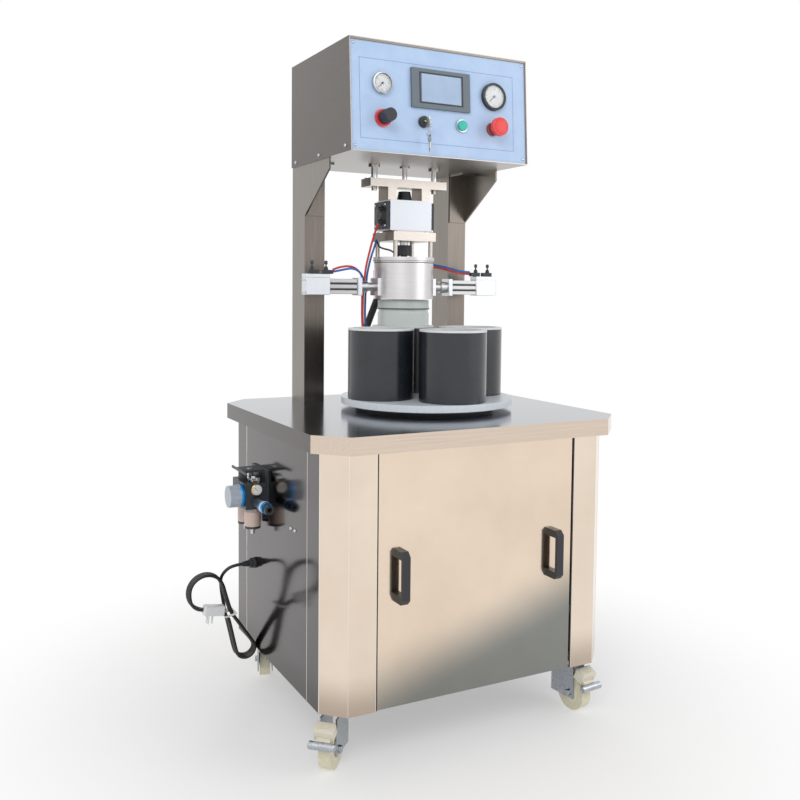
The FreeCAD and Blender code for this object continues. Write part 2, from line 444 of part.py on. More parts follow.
# The jar that stands in the nest under the head, with its screw lid
JAR_X = "disc_x"
JAR_Y = "disc_y+pitch"
JAR_Z = "cup_z+cup_floor+4"
jar = cut(fuse([rod("jar_r", "jar_top-8-(%s)" % JAR_Z, JAR_X, JAR_Y, JAR_Z), rod("jar_r-2", "12", JAR_X, JAR_Y, "jar_top-10")]),
          [rod("jar_r-2-jar_wall", "260", JAR_X, JAR_Y, JAR_Z + "+jar_wall")])
lid = cut(fuse([rod("lid_r", "lid_h", JAR_X, JAR_Y, "jar_top"), rod("lid_bead", "lid_bead_h", JAR_X, JAR_Y, "jar_top")]),
          [rod("jar_r-2", "2.2", JAR_X, JAR_Y, "jar_top-0.2")])
node("sample_jar", [jar])
node("sample_lid", [lid])

# Inside the cabinet: the indexing gearmotor under the worktop and the vacuum pump on the floor rails
node("drive_gearmotor", [cut(fuse([slab("120", "120", "90", "disc_x", "disc_y", "top_z-top_t-125"),
                                   slab("150", "150", "8", "disc_x", "disc_y", "top_z-top_t-36"),
                                   slab("12", "150", "30", "disc_x-69", "disc_y", "top_z-top_t-30"),
                                   slab("12", "150", "30", "disc_x+69", "disc_y", "top_z-top_t-30"),
                                   rod("45", "150", "disc_x", "disc_y", "top_z-top_t-270")]),
                             [rod("shaft_r+run_gap", "100", "disc_x", "disc_y", "top_z-top_t-100")])])
node("vacuum_pump", [fuse([slab("2*(half_w-sheet_t-rail)+10", "200", "4", "0", "60", "cab_z+rail"),
                           slab("120", "150", "90", "60", "60", "cab_z+rail+3"),
                           rod("50", "162", "2", "60", "cab_z+rail+56", TO_MINUS_X)])])

# Filter unit: a block with two bowls, a pull-out regulator dial and a sliding shut-off valve
WALL = "0-half_w"
unit_x = WALL + "-unit_off-unit_deep/2"
blocks = [slab("unit_deep", "unit_w*0.88", "unit_h", unit_x, "unit_y", "unit_z"),
          slab("unit_deep", "unit_w*0.88", "unit_h", unit_x, "unit_y+unit_pitch", "unit_z"),
          slab("unit_deep*0.7", "unit_pitch", "unit_h*0.5", unit_x, "unit_y+unit_pitch/2", "unit_z+unit_h*0.25"),
          slab("unit_off+1", "unit_w+unit_pitch", "unit_h+26", WALL + "-(unit_off-1)/2", "unit_y+unit_pitch/2", "unit_z"),
          slab("unit_deep", "unit_w", "5", unit_x, "unit_y+unit_pitch/2", "unit_z+unit_h+20"),
          rod("16", "21", unit_x, "unit_y+unit_pitch", "unit_z+unit_h-1"),
          rod("dial_neck", "4", WALL + "-unit_off-unit_deep+1", "unit_y", "unit_z+unit_h/2", TO_MINUS_X),
          rod("12", "7", unit_x, "unit_y-unit_w*0.44+1", "unit_z+unit_h*0.78", TO_MINUS_Y),
          rod("valve_r*0.8", "6", unit_x, "unit_y-unit_w*0.44+1", "unit_z+unit_h*0.3", TO_MINUS_Y)]
body = cut(fuse(blocks), [slab("4", "300", "200", WALL + "+2", "unit_y", "unit_z-50"),
                          rod("6.05", "30", WALL + "-unit_off-unit_deep+16", "unit_y", "unit_z+unit_h/2", TO_MINUS_X)])
bowls = []
for y in ("unit_y", "unit_y+unit_pitch"):
    bowls.append(fuse([rod("bowl_r", "bowl_h", unit_x, y, "unit_z-bowl_h"), rod("4", "13", unit_x, y, "unit_z-bowl_h-12")]))
node("filter_dial", [fuse([rod("dial_r", "dial_len-4", WALL + "-unit_off-unit_deep-4", "unit_y", "unit_z+unit_h/2", TO_MINUS_X),
                           rod("6", "18", WALL + "-unit_off-unit_deep+14", "unit_y", "unit_z+unit_h/2", TO_MINUS_X)])])
valve_y = "unit_y-unit_w*0.44-5"
valve_z = "unit_z+unit_h*0.3"
valve_body = cut(rod("valve_r", "valve_len+sleeve_len+14", unit_x, valve_y, valve_z, TO_MINUS_Y),
                 [rod("port_r", "30", unit_x, valve_y + "-valve_len-sleeve_len+15", valve_z, TO_MINUS_Y),
                  cut(rod("valve_r+1", "sleeve_len+8", unit_x, valve_y + "-valve_len", valve_z, TO_MINUS_Y),
                      [rod("valve_r-2", "sleeve_len+8", unit_x, valve_y + "-valve_len", valve_z, TO_MINUS_Y)])])
node("filter_unit", [body] + bowls + [valve_body])
node("valve_sleeve", [cut(rod("sleeve_r", "sleeve_len-2", unit_x, valve_y + "-valve_len-1", valve_z, TO_MINUS_Y),
                          [rod("valve_r-2+run_gap", "sleeve_len+8", unit_x, valve_y + "-valve_len+2", valve_z, TO_MINUS_Y)])])

# Casters: drawn with the swivel axis on Z and the wheel trailing along +X, then set at each corner
plates = []
for sx in ("-1", "1"):
    for sy in ("-1", "1"):
        x = "(%s)*caster_x" % sx
        y = "(%s)*caster_y" % sy
        plates.append(fuse([slab("plate_w", "plate_w", "plate_t", x, y, "cab_z-plate_t"),
                            rod("race_r", "race_h-side_gap", x, y, "cab_z-plate_t-race_h+side_gap")]))
node("caster_plates", plates)
AXLE_Z = "wheel_r"
FORK_TOP = "cab_z-plate_t-race_h"
for tag, sx, sy, turn, braked in (("front_left", "-1", "-1", "turn_fl", True), ("front_right", "1", "-1", "turn_fr", True),
                                  ("rear_left", "-1", "1", "turn_rl", False), ("rear_right", "1", "1", "turn_rr", False)):
    at = ("(%s)*caster_x" % sx, "(%s)*caster_y" % sy, "0")
    spin = ((0, 0, 1), turn)
    half = "(wheel_w/2+fork_gap)"
    crown = slab("2*race_r", "2*%s+2*fork_t" % half, "fork_t+1", "0", "0", FORK_TOP + "-fork_t-1")
    legs = []
    for s in ("-1", "1"):
        legs.append(cut(slab("trail+race_r+14", "fork_t", "%s-wheel_r+10" % FORK_TOP, "(trail-race_r+14)/2",
                             "(%s)*(%s+fork_t/2)" % (s, half), "wheel_r-10"),
                        [box("60", "fork_t+4", "60", "trail-12", "(%s)*(%s+fork_t/2)-fork_t/2-2" % (s, half), "wheel_r-24",
                             ((0, 1, 0), 135))]))
    pin = [rod("race_r-6", "side_gap+0.5", "0", "0", FORK_TOP + "-0.5"),
           rod("axle_r", "2*%s+2*fork_t+8" % half, "trail", "0-%s-fork_t-4" % half, AXLE_Z, TO_Y)]
    node("caster_fork_" + tag, [fuse([crown] + legs + pin)], at, spin)
    tread = cut(fuse([rod("wheel_r", "wheel_w", "trail", "0-wheel_w/2", AXLE_Z, TO_Y),
                      rod("11", "2*%s-1.2" % half, "trail", "0.6-%s" % half, AXLE_Z, TO_Y)]),
                [rod("axle_r+run_gap", "60", "trail", "0-30", AXLE_Z, TO_Y)])
    node("caster_wheel_" + tag, [tread], at, spin)
    if braked:
        pedal = fuse([slab("34", "2*%s-1" % half, "3", "trail+16", "0", "wheel_r*2+4"),
                      box("26", "2*%s-1" % half, "3", "trail+30", "0.5-%s" % half, "wheel_r*2+4", ((0, 1, 0), 38)),
                      rod("3", "2*%s-1" % half, "trail", "0.5-%s" % half, "wheel_r*2+6", TO_Y),
                      rod("4.5", "2*%s+6" % half, "trail+50", "0-%s-3" % half, "wheel_r*2-11", TO_Y)])
        node("brake_pedal_" + tag, [pedal], at, spin)

# Swept round pieces: straight runs joined by tangent arcs, radius 0.45 of the shorter run over tan(half turn)
def swept(points, r, label):
    points = [FreeCAD.Vector(*p) for p in points]
    edges = []
    last = points[0]
    length = 0.0
    radii = []
    for i in range(1, len(points) - 1):
        a, b, c = points[i - 1], points[i], points[i + 1]
        into = (b - a).normalize()
        out = (c - b).normalize()
        half = into.getAngle(out) / 2
        reach = 0.45 * min((b - a).Length, (c - b).Length)
        radii.append(reach / math.tan(half))
        start = b - into * reach
        end = b + out * reach
        mid_dir = (out - into).normalize()
        rad = radii[-1]
        mid = b + mid_dir * (rad / math.cos(half) - rad)
        if (start - last).Length > 1e-6:
            edges.append(Part.makeLine(last, start))
            length += (start - last).Length
        edges.append(Part.Arc(start, mid, end).toShape())
        length += rad * 2 * half
        last = end
    edges.append(Part.makeLine(last, points[-1]))
    length += (points[-1] - last).Length
    path = Part.Wire(edges)
    direction = (points[1] - points[0]).normalize()
    ring_wire = Part.Wire([Part.makeCircle(r, points[0], direction)])
    shape = path.makePipeShell([ring_wire], True, True)
    if shape.ShapeType != "Solid":
        shape = shape.Solids[0]
    if shape.Volume < 0:
        shape.reverse()
    print(label, "length %.1f" % length, "radii", " ".join("%.0f" % x for x in radii),
          "volume ratio %.4f" % (shape.Volume / (math.pi * r * r * length)))
    return shape

def shaped(name, shapes):
    obj = doc.addObject("Part::Feature", name)
    obj.Shape = Part.makeCompound(shapes)
    obj.Label = name
    obj.Placement = FreeCAD.Placement(FreeCAD.Vector(value("frame_x"), 0, 0), FreeCAD.Rotation())
    nodes.append(obj)
    return obj

# Power cord: gland on the left wall, a hanging tube to the tie, then a folded hank and its open loop
wall = -value("cab_w") / 2
cord_y = value("gland_y")
gland_end = wall - value("gland_len")
gland_z = value("gland_z")
cord_r = value("cord_r")
node("cord_gland", [fuse([cone("gland_r", "cord_r+1.5", "gland_len", WALL, "gland_y", "gland_z", TO_MINUS_X),
                          rod("gland_r+3", "6", WALL, "gland_y", "gland_z", TO_MINUS_X)])])
cord_run = 22.0
cord_points = [(gland_end, cord_y, gland_z)]
for bend, run, back in ((0, cord_run, 0), (35, cord_run, 4), (70, cord_run, 8), (103, 70, 3)):
    x, y, z = cord_points[-1]
    cord_points.append((x - run * math.cos(math.radians(bend)), y + back, z - run * math.sin(math.radians(bend))))
shaped("power_cord", [swept(cord_points, cord_r, "power_cord")])
tie_x, tie_z = cord_points[-1][0], cord_points[-1][2]
foot_x, foot_z, fold_r = wall - 25.5, gland_z - 185, 21.0
loop_x, loop_z, loop_r = wall - 113, gland_z - 49, 38.0
tie_half = 2 * cord_r + 1

def tapered(x0, z0, r0, x1, z1, r1, y0, y1):
    """Closed solid between two upright discs in the XZ plane, the outer shape of a bundle of strands."""
    angle = math.atan2(z1 - z0, x1 - x0)
    nx, nz = -math.sin(angle), math.cos(angle)
    corners = [(x0 + nx * r0, z0 + nz * r0), (x1 + nx * r1, z1 + nz * r1), (x1 - nx * r1, z1 - nz * r1), (x0 - nx * r0, z0 - nz * r0)]
    ring = [FreeCAD.Vector(x, y0, z) for x, z in corners]
    solid = Part.Face(Part.makePolygon(ring + ring[:1])).extrude(FreeCAD.Vector(0, y1 - y0, 0))
    discs = [Part.makeCylinder(r, y1 - y0, FreeCAD.Vector(x, y0, z), FreeCAD.Vector(0, 1, 0)) for x, z, r in ((x0, z0, r0), (x1, z1, r1))]
    return solid.fuse(discs)

lower = tapered(tie_x, tie_z, tie_half, foot_x, foot_z, fold_r + tie_half / 2, cord_y - 15, cord_y + 18.5)
upper = tapered(tie_x, tie_z, tie_half, loop_x, loop_z, loop_r + tie_half / 2, cord_y - 18.5, cord_y + 7.5)
hank = lower.fuse([upper]).removeSplitter().cut(swept(cord_points, cord_r, "cord in the hank"))
print("hank solids", len(hank.Solids), "volume %.0f" % hank.Volume)
shaped("cord_hank", [hank.Solids[0]])
fall = math.degrees(math.atan2(foot_z - tie_z, foot_x - tie_x))
tie = Part.makeBox(4, 41, 26, FreeCAD.Vector(-2, -20.5, -13))
tie.Placement = FreeCAD.Placement(FreeCAD.Vector(tie_x + 0.6, cord_y, tie_z - 1.5), FreeCAD.Rotation(FreeCAD.Vector(0, 1, 0), 12 - fall))
tie = tie.cut(lower.fuse([upper])).cut(swept(cord_points, cord_r, "cord in the tie"))
print("tie solids", len(tie.Solids))
shaped("cord_tie", [max(tie.Solids, key=lambda solid: solid.Volume)])

plug_turn, plug_len, plug_t = 8.0, 46.0, 20.0
plug_at = (wall - 125, gland_z - 79)
plug = Part.makeBox(plug_len, plug_t, 22, FreeCAD.Vector(0, -plug_t / 2, -11))
plug = plug.makeFillet(4, plug.Edges)
prongs = [Part.makeBox(2, 6.5, 18, FreeCAD.Vector(11 + dx, dy - 3.25, -28)) for dx, dy in ((0, -5.5), (0, 5.5), (10, 0))]
plug = plug.fuse(prongs)
plug.Placement = FreeCAD.Placement(FreeCAD.Vector(plug_at[0], cord_y - 18.8 - plug_t / 2, plug_at[1]),
                                   FreeCAD.Rotation(FreeCAD.Vector(0, 1, 0), plug_turn))
shaped("power_plug", [plug])

# Vacuum hose: rises with the head through a grommet hole in the worktop, into the port block behind the chamber
hose_x = value("head_x") - value("hose_in")
hose_y = value("axis_y") + value("hose_back")
port_x = value("head_x") - value("port_off")
port_z = value("cham_z") + value("port_up")
hose_points = [(hose_x, hose_y, value("top_z") - value("hose_low")), (hose_x, hose_y, value("top_z") + value("hose_bend")),
               (port_x, hose_y, port_z - value("hose_top")), (port_x, hose_y, port_z)]
shaped("vacuum_hose", [swept(hose_points, value("hose_r"), "vacuum_hose")])

doc.recompute()

# Check every object, then write one STEP file per named sub-part
for obj in doc.Objects:
    if "Invalid" in obj.State or "Error" in obj.State:
        raise RuntimeError("bad object " + obj.Label + " " + str(obj.State))
    if hasattr(obj, "Shape") and obj.TypeId.startswith("Part"):
        if obj.Shape.isNull() or not obj.Shape.isValid():
            raise RuntimeError("bad shape " + obj.Label)
os.makedirs("parts", exist_ok=True)
whole = FreeCAD.BoundBox()
for obj in nodes:
    if not obj.Shape.Solids:
        raise RuntimeError("no solid in " + obj.Label)
    obj.Shape.exportStep("parts/" + obj.Label + ".step")
    if obj.Label not in ("power_cord", "cord_hank", "cord_tie", "power_plug"):
        whole.add(obj.Shape.BoundBox)
print(len(nodes), "sub-parts; box without cord", whole)
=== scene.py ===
"""Jar vacuum screw capping machine: finishes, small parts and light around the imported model."""
import json
import math

import bmesh
import bpy
from mathutils import Matrix, Vector


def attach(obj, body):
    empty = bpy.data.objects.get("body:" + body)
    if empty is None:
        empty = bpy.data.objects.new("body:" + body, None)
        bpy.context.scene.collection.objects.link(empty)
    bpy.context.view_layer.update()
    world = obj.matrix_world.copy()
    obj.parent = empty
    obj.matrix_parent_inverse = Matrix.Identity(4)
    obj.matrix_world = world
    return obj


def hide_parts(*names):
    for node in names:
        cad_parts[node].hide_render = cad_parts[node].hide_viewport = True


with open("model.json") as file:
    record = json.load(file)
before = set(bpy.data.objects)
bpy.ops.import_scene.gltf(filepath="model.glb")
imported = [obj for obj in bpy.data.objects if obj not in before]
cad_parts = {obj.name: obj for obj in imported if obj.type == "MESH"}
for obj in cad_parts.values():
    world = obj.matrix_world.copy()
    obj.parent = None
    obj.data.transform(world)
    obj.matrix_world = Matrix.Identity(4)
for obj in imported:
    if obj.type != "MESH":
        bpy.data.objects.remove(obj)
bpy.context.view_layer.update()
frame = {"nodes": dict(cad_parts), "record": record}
nodes = frame["nodes"]

scene = bpy.context.scene

# Lengths below are millimetres from the middle of the worktop, on the floor; the model's origin is 29 to the left.
ORIGIN_X = 29.0
TO_MODEL = Matrix.Scale(0.001, 4) @ Matrix.Translation((ORIGIN_X, 0, 0))
# Half the cabinet's width and depth over its skins, the head's axis, and the turntable's axis in front of it
HALF_W, HALF_D = 327.0, 282.5
HEAD_X, AXIS_Y, TABLE_Y = 40.0, 130.0, 15.0
# Edges sharper than this many degrees stay sharp or get a small rounding.
SHARP = 35


def at(x, y, z):
    """A point in the model's metres."""
    return TO_MODEL @ Vector((x, y, z))


def add_object(name, data):
    """A new object of the given data in the scene."""
    made = bpy.data.objects.new(name, data)
    scene.collection.objects.link(made)
    return made


# ---------------------------------------------------------------- camera
CAMERA_AT = (-975.75, -1790.14, 911.79)
YAW, PITCH, ROLL = math.radians(27.699), math.radians(3.338), math.radians(0.553)
ahead = Vector((math.sin(YAW) * math.cos(PITCH), math.cos(YAW) * math.cos(PITCH), -math.sin(PITCH)))
level_right = Vector((math.cos(YAW), -math.sin(YAW), 0))
level_up = level_right.cross(ahead)
right = level_right * math.cos(ROLL) + level_up * math.sin(ROLL)
above = level_up * math.cos(ROLL) - level_right * math.sin(ROLL)

camera_data = bpy.data.cameras.new("camera")
camera_data.lens = 41.35
camera_data.sensor_width = 36.0
camera_data.shift_y = -0.0731
camera = add_object("camera", camera_data)
turn = Matrix((right, above, -ahead)).transposed().to_4x4()
camera.matrix_world = Matrix.Translation(at(*CAMERA_AT)) @ turn
scene.camera = camera

# ---------------------------------------------------------------- power cord
WALL = -HALF_W
CORD_Y, CORD_Z = 121.0, 305.0
GLAND_END = (WALL - 30, CORD_Y, CORD_Z)


def hanging_run():
    """From the gland out, down and to the tie: bend below level, run and shift to the back."""
    points = [GLAND_END]
    for bend, run, back in ((0, 22.0, 0), (35, 22.0, 4), (70, 22.0, 8), (103, 70.0, 3)):
        x, y, z = points[-1]
        bend = math.radians(bend)
        points.append((x - run * math.cos(bend), y + back, z - run * math.sin(bend)))
    return points


def hank_run(tie):
    """Three turns of cord: tie, lower fold, tie, open upper loop; the last loop curls into the plug."""
    loop, loop_r = Vector((-440.0, 256.0)), 38.0
    foot, foot_r = Vector((-352.5, 120.0)), 21.0
    # The plug's end of the cord, the step from turn to turn, and half the gap between a turn's two runs
    plug, pitch, slot = Vector((-452.0, 226.0)), 7.6, 4.0
    tie = Vector(tie)
    to_loop, to_foot = (loop - tie).normalized(), (foot - tie).normalized()
    loop_side = Vector((-to_loop.y, to_loop.x))
    foot_side = Vector((to_foot.y, -to_foot.x))
    across = (loop_side + foot_side).normalized() * slot
    points = []

    def add(place, back):
        """A point of the cord: its place seen from the front, and how far it lies behind the gland."""
        points.append((place.x, CORD_Y + back, place.y))

    def arc(centre, radius, start, end, back_start, back_end):
        """Points about 30 degrees apart, as far out as the spline needs to round them to the arc."""
        count = max(2, round(abs(end - start) / 30))
        reach = radius / math.cos(math.radians(abs(end - start) / count / 2))
        for i in range(count):
            share = (i + 0.5) / count
            angle = math.radians(start + (end - start) * share)
            spot = centre + reach * Vector((math.cos(angle), math.sin(angle)))
            add(spot, back_start + (back_end - back_start) * share)

    def degrees(direction):
        """The angle of a direction."""
        return math.degrees(math.atan2(direction.y, direction.x))

    lean = math.degrees(math.asin(loop_r / (loop - tie).length))
    loop_start = degrees(to_loop) - 90 - lean
    loop_end = degrees(to_loop) + 90 + lean
    fold_in, fold_out = foot + foot_side * foot_r, foot - foot_side * foot_r
    down = (15.0, 0.0, -pitch)
    back_up = (0.5 * pitch, -0.5 * pitch, -1.5 * pitch)
    for turn_number in range(3):
        y_in, y_out = down[turn_number], back_up[turn_number]
        add(tie + across, y_in)
        for share in (0.4, 0.7, 0.9):
            add((tie + across).lerp(fold_in, share), y_in)
        arc(foot, foot_r, degrees(foot_side), degrees(foot_side) + 180, y_in, y_out)
        for share in (0.1, 0.3, 0.6):
            add(fold_out.lerp(tie - across, share), y_out)
        add(tie - across, y_out)
        radians = math.radians(loop_start)
        edge = loop + loop_r * Vector((math.cos(radians), math.sin(radians)))
        add(edge.lerp(tie - across, 0.35), y_out)
        if turn_number < 2:
            arc(loop, loop_r, loop_start, loop_end, y_out, down[turn_number + 1])
            radians = math.radians(loop_end)
            edge = loop + loop_r * Vector((math.cos(radians), math.sin(radians)))
            add(edge.lerp(tie + across, 0.35), down[turn_number + 1])
    y_curl, y_plug = back_up[2] - 0.45 * pitch, -27.0
    stop = 180.0
    while stop < loop_start:
        stop += 360
    arc(loop, loop_r, loop_start, stop - 4, back_up[2], y_curl)
    curl = plug.x - (loop.x - loop_r)
    reach = curl / math.cos(math.radians(15))
    for angle, share in ((195, 0.5), (225, 0.75), (255, 0.95)):
        angle = math.radians(angle)
        spot = Vector((plug.x + reach * math.cos(angle), plug.y + curl + reach * math.sin(angle)))
        add(spot, y_curl * (1 - share) + y_plug * share)
    add(Vector((plug.x + 3, plug.y)), y_plug)
    return points


def smooth_line(name, points, diameter):
    data = bpy.data.curves.new(name, "CURVE")
    data.dimensions = "3D"
    data.bevel_depth = 1.0
    data.bevel_resolution = 6
    data.resolution_u = 10
    data.use_fill_caps = True
    spline = data.splines.new("NURBS")
    spline.points.add(len(points) - 1)
    for point, place in zip(spline.points, points):
        point.co = (*at(*place), 1.0)
        point.radius = diameter / 2000
    spline.order_u = 3
    spline.use_endpoint_u = True
    return add_object(name, data)


cord_start = hanging_run()
cord_tie_at = (cord_start[-1][0], cord_start[-1][2])
cord = smooth_line("mains_lead", cord_start[:-1] + hank_run(cord_tie_at), 7.0)
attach(cord, "machine")
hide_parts("power_cord", "cord_hank")


# ---------------------------------------------------------------- finishes
def linear(text):
    """sRGB hex to the linear colour of a shader socket."""
    channels = [int(text[i:i + 2], 16) / 255 for i in (1, 3, 5)]
    return tuple(c / 12.92 if c <= 0.04045 else ((c + 0.055) / 1.055) ** 2.4 for c in channels) + (1.0,)


def add_node(tree, kind, inputs=None, **settings):
    """Adds a node; settings are its attributes, inputs are values or the sockets that feed it."""
    made = tree.nodes.new(kind)
    for name, value in settings.items():
        setattr(made, name, value)
    for socket, value in (inputs or {}).items():
        if isinstance(value, bpy.types.NodeSocket):
            tree.links.new(value, made.inputs[socket])
        else:
            made.inputs[socket].default_value = value
    return made


def blank(name):
    """A material with an empty node tree and its output."""
    material = bpy.data.materials.new(name)
    material.use_nodes = True
    tree = material.node_tree
    tree.nodes.clear()
    return material, tree, add_node(tree, "ShaderNodeOutputMaterial")


def grained(name, low, high, rough, metallic, size_mm, stretch=(1, 1, 1), depth_mm=0.0, rough_swing=0.06, painted_reflection=None,
            **shader):
    """Colour, roughness and relief from one noise whose features are size_mm wide, stretched by axis."""
    material, tree, output = blank(name)
    place = add_node(tree, "ShaderNodeTexCoord")
    scaled = add_node(tree, "ShaderNodeMapping", {"Vector": place.outputs["Object"], "Scale": stretch})
    noise = add_node(tree, "ShaderNodeTexNoise", {"Vector": scaled.outputs["Vector"], "Scale": 1000 / size_mm,
                                                   "Detail": 4.0, "Roughness": 0.6})
    ramp = add_node(tree, "ShaderNodeValToRGB", {"Fac": noise.outputs["Fac"]})
    ramp.color_ramp.elements[0].position = 0.3
    ramp.color_ramp.elements[0].color = linear(low)
    ramp.color_ramp.elements[1].position = 0.7
    ramp.color_ramp.elements[1].color = linear(high)
    colour = ramp.outputs["Color"]
    # Painted reflection and shade by the side a sheet faces, laid over the noise colour
    if painted_reflection:
        colour = painted_reflection(tree, place, colour)
    spread = add_node(tree, "ShaderNodeMapRange", {"Value": noise.outputs["Fac"], "To Min": rough - rough_swing,
                                                    "To Max": rough + rough_swing})
    inputs = {"Base Color": colour, "Roughness": spread.outputs["Result"], "Metallic": metallic}
    if depth_mm:
        relief = add_node(tree, "ShaderNodeBump", {"Height": noise.outputs["Fac"], "Strength": 0.5,
                                                    "Distance": depth_mm / 1000})
        inputs["Normal"] = relief.outputs["Normal"]
    inputs.update(shader)
    surface = add_node(tree, "ShaderNodeBsdfPrincipled", inputs)
    tree.links.new(surface.outputs["BSDF"], output.inputs["Surface"])
    return material


# For the painted reflection, a sheet counts as facing a side once its normal's part along that side passes from the
# first to the second value.
FACING = (0.74, 0.93)


def ramp_share(tree, value, low, high):
    """A soft share from 0 at low to 1 at high."""
    return add_node(tree, "ShaderNodeMapRange", {"Value": value, "From Min": low, "From Max": high},
                    interpolation_type="SMOOTHSTEP").outputs[0]


def mix(tree, share, first, second, blend_type="MIX"):
    """Two colours mixed by a share."""
    return add_node(tree, "ShaderNodeMixRGB", {"Fac": share, "Color1": first, "Color2": second},
                    blend_type=blend_type).outputs[0]


def paint_reflection_by_facing(front, side, top, foot=None, foot_z=(0.12, 0.3), foot_slope=0.0):
    """A painted reflection by the side a sheet faces: the colour paints in the light or dark half of the room that
    polished steel would mirror on each side.

    The foot colour is a painted reflection of the floor's dark edge: it darkens the sheet between the foot_z heights,
    which climb to the right by foot_slope."""
    def painted_reflection(tree, place, colour):
        split = add_node(tree, "ShaderNodeSeparateXYZ", {"Vector": place.outputs["Normal"]})
        mixed = linear(front)
        for socket, shade in (("X", side), ("Z", top)):
            size = add_node(tree, "ShaderNodeMath", {0: split.outputs[socket]}, operation="ABSOLUTE")
            mixed = mix(tree, ramp_share(tree, size.outputs[0], *FACING), mixed, linear(shade))
        if foot:
            spot = add_node(tree, "ShaderNodeSeparateXYZ", {"Vector": place.outputs["Object"]})
            drop = add_node(tree, "ShaderNodeMath", {0: spot.outputs["X"], 1: -foot_slope, 2: spot.outputs["Z"]},
                            operation="MULTIPLY_ADD")
            share = ramp_share(tree, drop.outputs[0], foot_z[1], foot_z[0])
            mixed = mix(tree, share, mixed, linear(foot), "MULTIPLY")
        return mix(tree, 1.0, mixed, colour, "MULTIPLY")
    return painted_reflection


